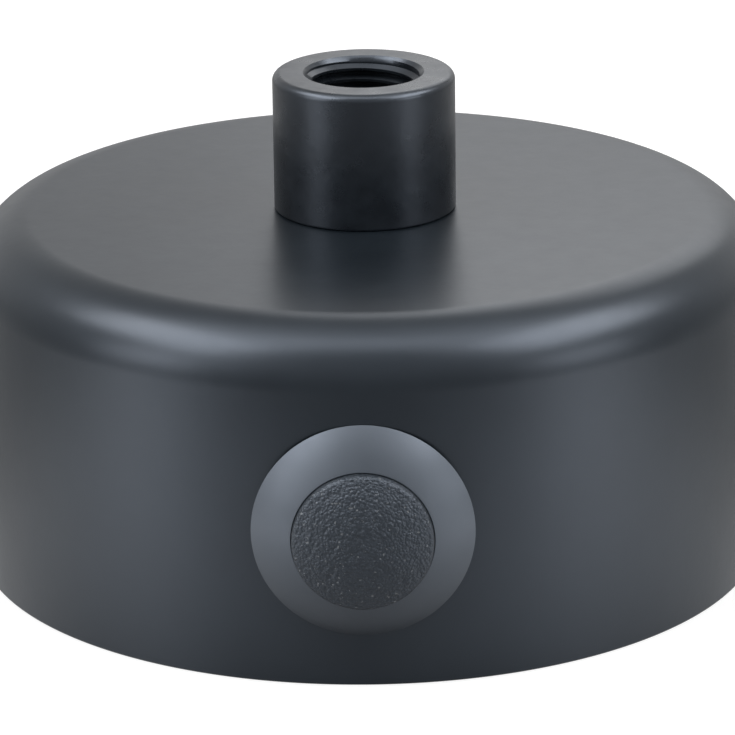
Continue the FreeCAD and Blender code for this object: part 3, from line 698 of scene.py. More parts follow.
@dataclass(frozen=True)
class Coat:
    """Sprayed coat on metal: faint orange peel, fine specks and cloudy gloss.

    Sizes of the patterns and depths of the bumps are in millimetres.
    """

    name: str
    dark: Colour
    light: Colour
    gloss_low: float
    gloss_high: float
    level: float
    peel: float = 0.0012
    cloud: float = 6.0
    wave: float = 0.0
    patch: float = 2.2
    dimple: float = 0.7
    grit: float = 0.12
    speck: float = 0.09
    tint: Colour = (0.76, 0.85, 1.0)

    def material(self) -> Material:
        """Builds the node material.

        Returns:
            The material.
        """
        wires = Surface(self.name)
        clouds = wires.noise(self.cloud, 4.0, 0.55)
        specks = wires.noise(self.speck, 2.0, 0.6)
        tone = wires.math("MULTIPLY", clouds, wires.spread(specks, 0.3, 0.7, 0.75, 1.25))
        colour = wires.toned(tone, 0.3, self.dark, self.light)
        patches = wires.noise(self.patch, 5.0, 0.6)
        gloss = wires.spread(patches, 0.3, 0.7, self.gloss_low, self.gloss_high)
        waves = wires.bump(wires.noise(self.cloud, 2.0), self.wave) if self.wave else None
        peel = wires.bump(wires.noise(self.dimple, 2.0, 0.45), self.peel * 4, waves)
        grit = wires.bump(wires.noise(self.grit, 2.0), self.peel, peel)
        tint = (*self.tint, 1)
        return wires.finish(
            colour, gloss, grit, Specular_IOR_Level=self.level, Specular_Tint=tint
        )


@dataclass(frozen=True)
class Grain:
    """Moulded plastic with a fine leather-like grain."""

    name: str
    dark: Colour
    light: Colour
    size: float
    depth: float
    gloss_low: float
    gloss_high: float
    level: float
    fleck: Colour = (0.11, 0.115, 0.12)
    fleck_size: float = 0.26
    tint: Colour = (0.76, 0.85, 1.0)

    def material(self) -> Material:
        """Builds the node material.

        Returns:
            The material.
        """
        wires = Surface(self.name)
        cells = wires.cells(self.size, wires.swirled(self.size * 1.7, self.size * 0.9))
        fine = wires.noise(self.size * 0.45, 3.0, 0.6)
        dents, lumps = wires.math("MULTIPLY", cells, -1.0), wires.math("MULTIPLY", fine, 0.45)
        height = wires.total(dents, lumps)
        ground = wires.blend(wires.spread(height, -0.5, 0.15, 0, 1), self.dark, self.light)
        flecks = wires.spread(wires.noise(self.fleck_size, 1.0, 0.4), 0.69, 0.74, 0, 1)
        colour = wires.blend(flecks, ground, self.fleck)
        gloss = wires.spread(fine, 0.35, 0.65, self.gloss_low, self.gloss_high)
        bump = wires.bump(height, self.depth)
        tint = (*self.tint, 1)
        return wires.finish(
            colour, gloss, bump, Specular_IOR_Level=self.level, Specular_Tint=tint
        )


@dataclass(frozen=True)
class Moulded:
    """Plain moulded plastic with a soft sheen and faint flow marks."""

    name: str
    dark: Colour
    light: Colour
    gloss_low: float
    gloss_high: float
    inside: float = 0.0
    flow: float = 3.5
    flow_depth: float = 0.02
    patch: float = 0.5
    spark: float = 0.08
    spark_depth: float = 0.0035

    def material(self) -> Material:
        """Builds the node material.

        Returns:
            The material.
        """
        wires = Surface(self.name)
        flow = wires.noise(self.flow, 3.0, place=wires.stretched((1, 1, 2.6)))
        colour = wires.toned(flow, 0.3, self.dark, self.light)
        patches = wires.noise(self.patch, 3.0, 0.6)
        gloss = wires.spread(patches, 0.3, 0.7, self.gloss_low, self.gloss_high)
        spark = wires.bump(wires.noise(self.spark, 2.0, 0.6), self.spark_depth)
        bump = wires.bump(flow, self.flow_depth, spark)
        if self.inside:
            wires.shader.inputs["Subsurface Radius"].default_value = (1.0, 0.9, 0.75)
            wires.shader.inputs["Subsurface Scale"].default_value = 0.6 * MM
        return wires.finish(colour, gloss, bump, Subsurface_Weight=self.inside)


@dataclass(frozen=True)
class Rolled:
    """Sheet metal with rolling lines, a mottled plating and shallow dents."""

    name: str
    dark: Colour
    light: Colour
    gloss_low: float
    gloss_high: float
    stretch: Place = (0.05, 1.0, 1.0)
    mottle: float = 2.5
    line: float = 0.12
    line_depth: float = 0.003
    dent: float = 0.5
    dent_depth: float = 0.006

    def material(self) -> Material:
        """Builds the node material.

        Returns:
            The material.
        """
        wires = Surface(self.name)
        lines = wires.noise(self.line, 4.0, 0.65, wires.stretched(self.stretch))
        tone = wires.weighed(wires.noise(self.mottle, 5.0, 0.6), 0.7, lines)
        colour = wires.toned(tone, 0.35, self.dark, self.light)
        gloss = wires.spread(tone, 0.35, 0.65, self.gloss_high, self.gloss_low)
        dents = wires.bump(wires.noise(self.dent, 3.0), self.dent_depth)
        bump = wires.bump(lines, self.line_depth, dents)
        return wires.finish(colour, gloss, bump, Metallic=1.0)


@dataclass(frozen=True)
class Machined:
    """Turned metal with tool marks about the axis of the piece."""

    name: str
    dark: Colour
    light: Colour
    gloss_low: float
    gloss_high: float
    axis: Axis = Axis.ROSE
    metallic: float = 1.0
    marks: float = 0.07
    mottle: float = 1.3
    dent: float = 0.25
    depth: float = 0.004

    def material(self) -> Material:
        """Builds the node material.

        Returns:
            The material.
        """
        wires = Surface(self.name)
        rings = wires.noise(self.marks, 3.0, 0.6, wires.lathe(self.axis))
        tone = wires.weighed(wires.noise(self.mottle, 4.0, 0.6), 0.65, rings)
        colour = wires.toned(tone, 0.35, self.dark, self.light)
        gloss = wires.spread(tone, 0.35, 0.65, self.gloss_high, self.gloss_low)
        dents = wires.bump(wires.noise(self.dent, 2.0), self.depth)
        bump = wires.bump(rings, self.depth, dents)
        return wires.finish(colour, gloss, bump, Metallic=self.metallic)


Finish = Union[Coat, Grain, Moulded, Rolled, Machined]


@dataclass
class Finishes:
    """Every finish of the rose, made once."""

    cup: Coat = Coat(
        "cup_coat", (0.0040, 0.0060, 0.0080), (0.0056, 0.0082, 0.0108), 0.315, 0.345, 0.53
    )
    neck: Coat = Coat(
        "neck_coat",
        (0.0014, 0.0021, 0.0030),
        (0.0055, 0.0074, 0.0096),
        gloss_low=0.24,
        gloss_high=0.36,
        level=0.66,
        peel=0.0018,
        cloud=3.0,
        wave=0.05,
    )
    ring: Coat = Coat(
        "ring_satin",
        (0.0045, 0.0068, 0.0090),
        (0.0060, 0.0088, 0.0115),
        gloss_low=0.40,
        gloss_high=0.46,
        level=1.10,
        peel=0.0008,
    )
    button: Grain = Grain(
        "button_grain",
        (0.0060, 0.0080, 0.0105),
        (0.015, 0.0195, 0.025),
        size=0.24,
        depth=0.08,
        gloss_low=0.32,
        gloss_high=0.48,
        level=0.62,
    )
    screw: Machined = Machined(
        "black_screw", (0.018, 0.019, 0.021), (0.034, 0.036, 0.04), 0.28, 0.42, Axis.SIDE, 0.0
    )
    zinc: Rolled = Rolled("zinc_steel", (0.50, 0.51, 0.52), (0.66, 0.67, 0.68), 0.24, 0.42)
    zinc_turned: Machined = Machined(
        "zinc_steel_turned", (0.48, 0.49, 0.50), (0.64, 0.65, 0.66), 0.2, 0.36
    )
    zinc_switch: Machined = Machined(
        "zinc_steel_at_switch", (0.48, 0.49, 0.50), (0.64, 0.65, 0.66), 0.2, 0.36, Axis.SWITCH
    )
    spring: Rolled = Rolled(
        "spring_steel", (0.34, 0.34, 0.35), (0.50, 0.50, 0.51), 0.22, 0.4, (1.0, 1.0, 0.3)
    )
    brass: Machined = Machined(
        "brass", (0.60, 0.43, 0.17), (0.78, 0.59, 0.27), 0.2, 0.38, Axis.SWITCH
    )
    bronze: Rolled = Rolled(
        "bronze", (0.52, 0.32, 0.17), (0.70, 0.45, 0.25), 0.24, 0.4, (1.0, 1.0, 0.1)
    )
    terminal: Moulded = Moulded(
        "terminal_white", (0.74, 0.74, 0.71), (0.82, 0.82, 0.79), 0.36, 0.48, 0.15
    )
    housing: Moulded = Moulded(
        "housing_black", (0.016, 0.016, 0.018), (0.024, 0.024, 0.027), 0.34, 0.46
    )
    mechanism: Moulded = Moulded(
        "mechanism_natural", (0.72, 0.70, 0.62), (0.80, 0.78, 0.71), 0.30, 0.42, 0.2
    )
    made: dict[str, Material] = field(default_factory=dict)

    def get(self, finish: Finish) -> Material:
        """Material of a finish, made the first time that it is asked for.

        Args:
            finish: the finish.

        Returns:
            Its material.
        """
        if finish.name not in self.made:
            self.made[finish.name] = finish.material()
        return self.made[finish.name]


@dataclass
class Maker:
    """Dresses pieces and sets them on their bodies."""

    nodes: dict[str, Piece]
    finishes: Finishes = field(default_factory=Finishes)

    def place(
        self, piece: Piece, finish: Finish, slot: Slot, body: Body, *nodes: str
    ) -> None:
        """Dresses a new piece and lets it ride on a body in place of CAD nodes.

        Args:
            piece: the new piece.
            finish: its finish.
            slot: not used.
            body: the body that it moves with.
            *nodes: CAD nodes that it stands for.
        """
        piece.data.materials.clear()
        piece.data.materials.append(self.finishes.get(finish))
        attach(piece, body.value)
        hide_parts(*nodes)
        log.info("%s: %d faces", piece.name, len(piece.data.polygons))

    def dress(self, finish: Finish, slot: Slot, *nodes: str) -> None:
        """Gives a finish to CAD nodes that stay as they are.

        Args:
            finish: their finish.
            slot: not used.
            *nodes: the nodes.
        """
        for name in nodes:
            node = self.nodes[name]
            node.data.materials.clear()
            node.data.materials.append(self.finishes.get(finish))
            log.info("%s: dressed", name)


# Pieces


@dataclass
class Cup:
    """Drawn cup, open at the rim, with holes for the nipple, the switch and its screws."""

    radius: float = 35.0
    height: float = 31.0
    wall: float = 1.0
    corner: float = 5.5
    rim_edge: float = 0.22
    nipple_hole: float = 5.2
    switch_hole: float = 7.3
    screw_hole: float = 2.15
    drill: tuple[float, float] = (20, 45)
    outer_steps: int = 28
    inner_steps: int = 20
    columns: int = 480
    switch_columns: int = 160
    screw_columns: int = 64

    def section(self) -> Array:
        """Closed wall section, from the nipple hole over the outside and back inside.

        Returns:
            (radius, height) points, n by two.
        """
        inner, ceiling = self.radius - self.wall, self.height - self.wall
        middle = self.radius - self.wall / 2
        hole, edge, top = self.nipple_hole, self.radius, self.height
        outside = filleted(
            [(hole, top), (edge, top), (edge, 0), (middle, 0)],
            [0, self.corner, self.rim_edge, 0],
            self.outer_steps,
        )
        inside = filleted(
            [(middle, 0), (inner, 0), (inner, ceiling), (hole, ceiling)],
            [0, self.rim_edge, self.corner - self.wall, 0],
            self.inner_steps,
        )
        return np.vstack([outside, inside, outside[:1]])

    def piece(self) -> Piece:
        """Turns the section and cuts the holes in the side.

        Returns:
            The piece.
        """
        cup = turned_shell(self.section(), self.columns).piece("cup")
        places = [(at_switch(), self.switch_hole, self.switch_columns)]
        for side in (-1, 1):
            place = pointing((side, 0, 0), (0, 0, SCREW_HEIGHT))
            places.append((place, self.screw_hole, self.screw_columns))
        holes = [
            rod_shell(radius, self.drill, columns).placed(place).piece("hole")
            for place, radius, columns in places
        ]
        return cut(cup, holes)

    def build(self, maker: Maker) -> None:
        """Makes and dresses the cup."""
        maker.place(self.piece(), maker.finishes.cup, Slot.CUP, Body.ROSE, "rose_cup")


@dataclass
class Neck:
    """Turned neck, tapped from both ends, and the hollow nipple that holds it."""

    radius: float = 8.0
    low: float = 31.0
    high: float = 43.2
    edge: float = 0.7
    foot: float = 0.25
    mouth: float = 0.8
    groove_low: float = 36.8
    groove_high: float = 38.0
    groove: float = 5.3
    pipe: Thread = Thread(4.5, 5.0, 1.0, 0.1)
    nipple: Thread = Thread(4.42, 4.93, 1.0, 0.1)
    nipple_bore: float = 3.6
    nipple_low: float = 24.9
    nipple_end: float = 0.25
    nipple_cone: float = 1.4
    run_out: float = 1.6
    steps: int = 14
    columns: int = 256

    def tapped(self, low: float, high: float, limit: Limit) -> Array:
        """Grid of one stretch of female thread."""
        return self.pipe.grid(low, high, self.columns, limit, female=True)

    def sleeve(self) -> Piece:
        """Outside, mouth, the two threads and the groove between them.

        Returns:
            The piece.
        """
        rim = self.pipe.root + self.mouth
        low, high, edge = self.low, self.high, self.radius
        outside = filleted(
            [(self.groove, low), (edge, low), (edge, high), (rim, high)],
            [0, self.foot, self.edge, 0],
            self.steps,
        )
        shell = turned_shell(outside, self.columns)

        def upper(height: Array) -> Array:
            """Chamfer of the mouth and run-out into the groove."""
            mouth = rim - (high - height)
            return np.maximum(mouth, self.groove - (height - self.groove_high) * self.run_out)

        def lower(height: Array) -> Array:
            """Run-out at both ends of the lower thread."""
            nearest = np.minimum(height - low, self.groove_low - height)
            return self.groove - nearest * self.run_out

        shell.add_grid(self.tapped(self.groove_high, high, upper), climb=THREAD_MARKS)
        groove = np.array([(self.groove, self.groove_low), (self.groove, self.groove_high)])
        shell.add_grid(turned(groove, self.columns))
        shell.add_grid(self.tapped(low, self.groove_low, lower), climb=THREAD_MARKS)
        return shell.piece("neck")

    def hollow_nipple(self) -> Piece:
        """Male thread with both ends turned down and a plain bore.

        Returns:
            The piece.
        """
        low, high = self.nipple_low, self.groove_low
        end, bore = self.nipple.root - self.nipple_end, self.nipple_bore

        def form(height: Array) -> Array:
            """Cone at each end."""
            return end + np.minimum(height - low, high - height) * self.nipple_cone

        shell = Shell()
        shell.add_grid(self.nipple.grid(low, high, self.columns, form), climb=THREAD_MARKS)
        inside = np.array([(end, high), (bore, high), (bore, low), (end, low)])
        shell.add_grid(turned(inside, self.columns))
        return shell.piece("hollow_nipple")

    def build(self, maker: Maker) -> None:
        """Makes and dresses the neck, the nipple, its washer and its nut.

        Args:
            maker: what dresses the pieces.
        """
        looks = maker.finishes
        maker.place(self.sleeve(), looks.neck, Slot.NECK, Body.ROSE, "neck_sleeve")
        nipple = self.hollow_nipple()
        maker.place(nipple, looks.zinc_turned, Slot.ZINC, Body.ROSE, "threaded_nipple")
        maker.dress(looks.zinc_turned, Slot.ZINC, "nipple_lock_nut")
        maker.dress(looks.spring, Slot.SPRING, "nipple_lock_washer")


@dataclass
class SlottedScrew:
    """Screw with a threaded shank and a slot across its head.

    The plain stretch under the head is a share of the pitch, and the edge at the seat a
    share of the head's edge.
    """

    thread: Thread
    length: float
    head: float
    head_height: float
    edge: float = 0.35
    drive: float = 0.7
    drive_share: float = 0.45
    tip: float = 0.35
    plain: float = 0.4
    run_out: float = 1.5
    seat_edge: float = 0.4
    steps: int = 6
    columns: int = 72

    def shell(self) -> Shell:
        """Tip, thread and head on Z, seated at zero with the head above.

        Returns:
            The shell.
        """
        root, low = self.thread.root, -self.length
        tip = root - self.tip

        def form(height: Array) -> Array:
            """Cone at the tip and plain neck under the head."""
            neck = np.minimum(height + self.thread.pitch * self.plain, 0) * self.run_out
            return np.minimum(tip + (height + self.length), root - neck)

        shell = Shell()
        shell.add_grid(self.thread.grid(low, 0, self.columns, form), climb=THREAD_MARKS)
        shell.add_grid(turned(np.array([(0, low), (tip, low)]), self.columns))
        top = self.head_height
        head = filleted(
            [(root, 0), (self.head, 0), (self.head, top), (0, top)],
            [0, self.edge * self.seat_edge, self.edge, 0],
            self.steps,
        )
        shell.add_grid(turned(head, self.columns))
        return shell

    def piece(self, name: str, spots: Sequence[Matrix]) -> Piece:
        """Screws at several places, as one piece.

        Args:
            name: name of the piece.
            spots: where each screw's seat is and where its head points.

        Returns:
            The piece.
        """
        screws, slots = Shell(), Shell()
        half, past = self.drive / 2, self.head + 1
        floor = self.head_height * (1 - self.drive_share)
        slot = box_shell((-past, -half, floor), (past, half, self.head_height + 1))
        for spot in spots:
            screws.add(self.shell().placed(spot))
            slots.add(slot.placed(spot))
        return cut(screws.piece(name), [slots.piece("slots")])


@dataclass
class Fixings:
    """Side screws of the cup, earth screw and the bracket that they go into."""

    side: SlottedScrew = field(
        default_factory=lambda: SlottedScrew(Thread(1.6, 1.93, 0.7), 5.98, 3.4, 2.2)
    )
    earth: SlottedScrew = field(
        default_factory=lambda: SlottedScrew(Thread(1.6, 1.93, 0.7), 3.5, 3.5, 2.4)
    )
    side_seat: float = 35.02
    earth_spot: float = 8.25
    earth_seat: float = 5.0

    def build(self, maker: Maker) -> None:
        """Makes the screws and dresses the bracket and the clamping washer.

        Args:
            maker: what dresses the pieces.
        """
        looks = maker.finishes
        for side, name in ((-1, "left"), (1, "right")):
            spot = pointing((side, 0, 0), (side * self.side_seat, 0, SCREW_HEIGHT))
            piece = self.side.piece(f"screw_{name}", [spot])
            maker.place(piece, looks.screw, Slot.SCREW, Body.ROSE, f"side_screw_{name}")
        spot = Matrix.Translation((self.earth_spot, 0, self.earth_seat))
        piece = self.earth.piece("screw_earth", [spot])
        maker.place(piece, looks.brass, Slot.BRASS, Body.ROSE, "earth_screw")
        maker.dress(looks.zinc, Slot.ZINC, "mounting_bracket")
        maker.dress(looks.brass, Slot.BRASS, "earth_washer")


@dataclass
class TerminalBlock:
    """Moulded block with its brass tubes, clamp screws and fixing screws."""

    middle: float = 22.76
    pitch: float = 9.0
    clamp_spread: float = 8.0
    clamp_seat: float = 13.0
    fixing_seat: float = 11.0
    clamp: SlottedScrew = field(
        default_factory=lambda: SlottedScrew(Thread(1.2, 1.47, 0.5), 4.9, 1.7, 1.8, 0.25)
    )
    fixing: SlottedScrew = field(
        default_factory=lambda: SlottedScrew(Thread(1.2, 1.47, 0.5), 9.3, 2.62, 1.8, 0.3)
    )

    def build(self, maker: Maker) -> None:
        """Makes the screws and dresses the block and its tubes.

        Args:
            maker: what dresses the pieces.
        """
        looks = maker.finishes
        rows = [self.middle + hand * self.clamp_spread / 2 for hand in (-1, 1)]
        clamps = [
            Matrix.Translation((x * self.pitch, y, self.clamp_seat))
            for x in (-1, 0, 1)
            for y in rows
        ]
        piece = self.clamp.piece("screws_clamp", clamps)
        maker.place(piece, looks.zinc_turned, Slot.ZINC, Body.ROSE, "clamp_screws")
        fixings = [
            Matrix.Translation((side * self.pitch / 2, self.middle, self.fixing_seat))
            for side in (-1, 1)
        ]
        piece = self.fixing.piece("screws_block", fixings)
        maker.place(piece, looks.zinc_turned, Slot.ZINC, Body.ROSE, "block_screws")
        maker.dress(looks.terminal, Slot.TERMINAL, "terminal_block_body")
        tubes = [f"terminal_tube_{number}" for number in (1, 2, 3)]
        maker.dress(looks.brass, Slot.BRASS, *tubes)


@dataclass
class PushButton:
    """Grained button with its skirt, notched flange and socket."""

    radius: float = 5.865
    rim: float = 38.0
    crown: float = 1.31
    crown_power: float = 2.2
    crown_share: float = 0.9
    edge: float = 0.5
    side: float = 1.2
    face: float = 1.2
    grain: float = 0.42
    grain_depth: float = 0.06
    grain_crowd: float = 1.3
    grain_even: float = 0.55
    grain_bare: float = 0.12
    grain_fade: float = 0.35
    skirt: float = 0.75
    flange: float = 7.9
    flange_front: float = 30.69
    flange_back: float = 29.69
    socket: float = 1.55
    socket_wall: float = 1.0
    socket_low: float = 32.04
    notches: int = 4
    notch_reach: float = 6.7
    notch_half: float = 1.1
    seed: int = 11
    edge_steps: int = 8
    crown_rows: int = 84
    columns: int = 384

    def face_line(self) -> Array:
        """Line of the front: wall, rounded edge and crown.

        The height of the crown is one less the share of the radius to the crown's power,
        times the crown.

        Returns:
            (radius, height) points, n by two.
        """
        share = np.linspace(self.crown_share, 0, self.crown_rows)[:, None]
        rise = self.crown * (1 - share**self.crown_power)
        crown = np.hstack([share * self.radius, self.rim + rise])
        edge = filleted(
            [(self.radius, self.rim - self.side), (self.radius, self.rim), tuple(crown[0])],
            [0, self.edge, 0],
            self.edge_steps,
        )
        return np.vstack([edge[:-1], crown])

    def grained(self, grid: Array) -> Array:
        """Front with a leather-like grain raised on it.

        Seeds are strewn over the face, and each point rises by the depth times a half
        cosine of its distance to the nearest seed over the grain's size. Seeds have
        their own heights, and the grain fades out over the rounded edge.

        Args:
            grid: points of the front, rows by columns by three.

        Returns:
            The grid with its heights changed.
        """
        luck = np.random.default_rng(self.seed)
        count = int(math.pi * self.radius**2 / self.grain**2 * self.grain_crowd)
        reach = self.radius * np.sqrt(luck.random(count))
        turn = FULL_TURN * luck.random(count)
        seeds = np.stack([reach * np.cos(turn), reach * np.sin(turn)], -1)
        lift = self.grain_even + (1 - self.grain_even) * luck.random(count)
        made = grid.copy()
        for row in made:
            apart = np.linalg.norm(row[:, None, :2] - seeds[None], axis=-1)
            share = np.clip(apart.min(1) / self.grain, 0, 1)
            room = self.radius - self.grain_bare - np.linalg.norm(row[:, :2], axis=1)
            fade = np.clip(room / self.grain_fade, 0, 1)
            bulge = lift[apart.argmin(1)] * np.cos(share * math.pi / 2)
            row[:, 2] -= self.grain_depth * fade * (1 - bulge)
        return made

    def flange_outline(self) -> Array:
        """Radius of the flange at each column.

        The outline is the lesser of the flange's circle and, within the half width of a
        notch, the line across its floor, so its radius is the reach over the cosine of
        the angle from the notch's middle.

        Returns:
            Radius at each column.
        """
        step = FULL_TURN / self.notches
        off = angles(self.columns) % step - step / 2
        inside = np.abs(np.sin(off)) * self.flange < self.notch_half
        return np.where(inside, self.notch_reach / np.cos(off), self.flange)

    def piece(self) -> Piece:
        """Front, skirt, flange, hollow and socket as one closed shell.

        Returns:
            The piece.
        """
        hollow, ceiling = self.radius - self.skirt, self.rim - self.face
        front, back = self.flange_front, self.flange_back
        socket, tube, low = self.socket, self.socket + self.socket_wall, self.socket_low
        shell = Shell()
        shell.add_grid(self.grained(turned(self.face_line()[::-1], self.columns)))
        down = np.array([(self.radius, self.rim - self.side), (self.radius, front)])
        shell.add_grid(turned(down, self.columns))
        outline, even = self.flange_outline(), np.ones(self.columns)
        radii = np.stack([even * self.radius, outline, outline, even * hollow])
        heights = np.array([front, front, back, back])[:, None]
        shell.add_grid(around(radii, angles(self.columns), heights))
        line = [(hollow, back), (hollow, ceiling), (tube, ceiling), (tube, low)]
        line += [(socket, low), (socket, ceiling), (0, ceiling)]
        shell.add_grid(turned(np.array(line), self.columns))
        return shell.placed(at_switch()).piece("button")


@dataclass
class CoilSpring:
    """Coil spring with closed ends."""

    wire: float = 0.2
    radius: float = 1.6
    low: float = 18.74
    high: float = 30.74
    turns: float = 8.5
    closing: float = 1.3
    closed: float = 0.22
    steps: int = 420
    sides: int = 12

    def piece(self) -> Piece:
        """Wire carried along the line of the coils.

        The line is a helix whose rise per turn grows from the wire's thickness at each
        end to an even pitch between. The wire is a circle carried along it, spanned by
        the outward direction and the cross product of that with the tangent.

        Returns:
            The piece.
        """
        turn = np.linspace(0, self.turns, self.steps)
        speed = np.clip(np.minimum(turn, self.turns - turn) / self.closing, self.closed, 1)
        rise = np.concatenate([[0], np.cumsum((speed[1:] + speed[:-1]) / 2)])
        height = self.low + (self.high - self.low) * rise / rise[-1]
        angle = turn * FULL_TURN
        line = around(self.radius, angle, height)
        out = around(1.0, angle, 0.0)
        along = np.gradient(line, axis=0)
        along /= np.linalg.norm(along, axis=1, keepdims=True)
        side = np.cross(along, out)
        bend = angles(self.sides)[:, None]
        tube = line[:, None] + self.wire * (
            np.cos(bend) * out[:, None] + np.sin(bend) * side[:, None]
        )
        ends = [np.broadcast_to(line[end], (1, self.sides, 3)) for end in (0, -1)]
        shell = Shell()
        shell.add_grid(np.concatenate([ends[0], tube, ends[1]]))
        return shell.placed(at_switch()).piece("coil_spring")


@dataclass
class Switch:
    """Push switch: ring nut, washer, housing, button, ratchet, contacts and cover."""

    ring: float = 9.25
    ring_back: float = 35.02
    ring_front: float = 37.32
    ring_bore: float = 5.885
    brow: float = 41.0
    lean: float = 28.0
    ring_edge: float = 0.06
    ring_foot: float = 0.02
    ring_lip: float = 0.8
    collar: float = 6.85
    lip_rows: int = 14
    front_rows: int = 40
    foot_steps: int = 4
    columns: int = 320
    button: PushButton = field(default_factory=PushButton)
    spring: CoilSpring = field(default_factory=CoilSpring)
    cover_screw: SlottedScrew = field(
        default_factory=lambda: SlottedScrew(Thread(0.75, 0.98, 0.4), 4.35, 1.8, 1.1, 0.22, 0.5)
    )
    contact_screw: SlottedScrew = field(
        default_factory=lambda: SlottedScrew(Thread(1.2, 1.47, 0.5), 2.6, 2.3, 1.6, 0.3)
    )
    cover_back: float = 16.29
    contact_back: float = 15.49
    cover_spread: float = 6.9
    contact_spread: float = 5.4

    def ring_line(self) -> Array:
        """Closed section of the ring nut.

        Its front is an arc whose slope falls evenly from the brow at the shoulder to the
        lean at the bore: radius and height are the arc's size times the sine and cosine
        of that slope. The lip is a quarter round whose angle goes from the lean to the
        wall of the bore, and its top lies at the ring's front.

        Returns:
            (radius, height) points, n by two.
        """
        turn = np.radians(np.linspace(self.lean, -90, self.lip_rows))
        round_ = self.ring_edge * np.stack([np.sin(turn), np.cos(turn) - 1], -1)
        lip = round_ + (self.ring_bore + self.ring_edge, self.ring_front)
        slope = np.radians(np.linspace(self.brow, self.lean, self.front_rows))
        size = (self.ring - lip[0, 0]) / (math.sin(slope[0]) - math.sin(slope[-1]))
        front = size * np.stack([np.sin(slope), np.cos(slope)], -1)
        front += lip[0] - front[-1]
        foot = filleted(
            [(self.collar, self.ring_back), (self.ring, self.ring_back), tuple(front[0])],
            [0, self.ring_foot, 0],
            self.foot_steps,
        )
        ledge = self.ring_front - self.ring_lip
        back = [(self.ring_bore, ledge), (self.collar, ledge), (self.collar, self.ring_back)]
        return np.vstack([foot[:-1], front[:-1], lip, back])

    def ring_nut(self) -> Piece:
        """Turned section of the ring nut, swung onto the axis of the switch."""
        ring = turned_shell(self.ring_line(), self.columns)
        return ring.placed(at_switch()).piece("ring_nut")

    def seat(self, x: float, y: float, back: float) -> Matrix:
        """Seat of a screw that goes in from the back, its head towards the rose's axis."""
        place = at_switch() @ Matrix.Translation((x, y, back))
        return place @ Matrix.Rotation(math.pi, 4, "X")

    def build(self, maker: Maker) -> None:
        """Makes and dresses every piece of the switch.

        Args:
            maker: what dresses the pieces.
        """
        looks = maker.finishes
        maker.place(self.ring_nut(), looks.ring, Slot.RING, Body.ROSE, "switch_ring_nut")
        button = self.button.piece()
        maker.place(button, looks.button, Slot.BUTTON, Body.BUTTON, "switch_button")
        spring = self.spring.piece()
        maker.place(spring, looks.spring, Slot.SPRING, Body.ROSE, "return_spring")
        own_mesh(spring)
        spots = [self.seat(0, side * self.cover_spread, self.cover_back) for side in (-1, 1)]
        screws = self.cover_screw.piece("screws_cover", spots)
        maker.place(screws, looks.zinc_switch, Slot.ZINC, Body.ROSE, "cover_screws")
        for side, hand in ((-1, "left"), (1, "right")):
            spot = self.seat(side * self.contact_spread, 0, self.contact_back)
            screw = self.contact_screw.piece(f"screw_contact_{hand}", [spot])
            node = f"contact_screw_{hand}"
            maker.place(screw, looks.zinc_switch, Slot.ZINC, Body.ROSE, node)
        maker.dress(looks.spring, Slot.SPRING, "switch_washer")
        maker.dress(looks.housing, Slot.HOUSING, "switch_housing", "switch_cover")
        maker.dress(looks.mechanism, Slot.MECHANISM, "switch_plunger", "switch_rotor")
        maker.dress(looks.bronze, Slot.BRONZE, "contact_bridge")
        maker.dress(looks.brass, Slot.BRASS, "fixed_contact_left", "fixed_contact_right")


# Studio


@dataclass(frozen=True)
class SoftBox:
    """Rectangular lamp that faces the rose."""

    name: str
    azimuth: float
    elevation: float
    distance: float
    width: float
    height: float
    power: float

    def build(self, target: Vector) -> None:
        """Hangs the lamp. Azimuth 0 is in front of the switch, 90 on the right.

        Args:
            target: point that the lamp faces.
        """
        azimuth, elevation = math.radians(self.azimuth), math.radians(self.elevation)
        back = Vector(
            (
                math.sin(azimuth) * math.cos(elevation),
                -math.cos(azimuth) * math.cos(elevation),
                math.sin(elevation),
            )
        )
        lamp = bpy.data.lights.new(self.name, "AREA")
        lamp.shape = "RECTANGLE"
        lamp.size, lamp.size_y = self.width, self.height
        lamp.energy = self.power
        made = bpy.data.objects.new(self.name, lamp)
        made.rotation_mode = "QUATERNION"
        made.location = target + back * self.distance
        made.rotation_quaternion = (-back).to_track_quat("-Z", "Y")
        bpy.context.scene.collection.objects.link(made)


@dataclass(frozen=True)
class Glow:
    """Soft round glow, brightest in its middle, that falls to nothing at its reach."""

    middle: Place
    reach: float
    level: float

    def seen(self, wires: Wiring, place: Socket) -> Socket:
        """Brightness of the glow.

        Args:
            wires: node tree of the world or the floor.
            place: coordinates or directions, which the middle and the reach are given in.

        Returns:
            Value socket.
        """
        away = wires.node("ShaderNodeVectorMath", operation="DISTANCE")
        wires.feed(away.inputs[0], place)
        wires.feed(away.inputs[1], self.middle)
        ends = (0, self.reach, self.level, 0)
        return wires.spread(away.outputs["Value"], *ends, interpolation_type="SMOOTHSTEP")


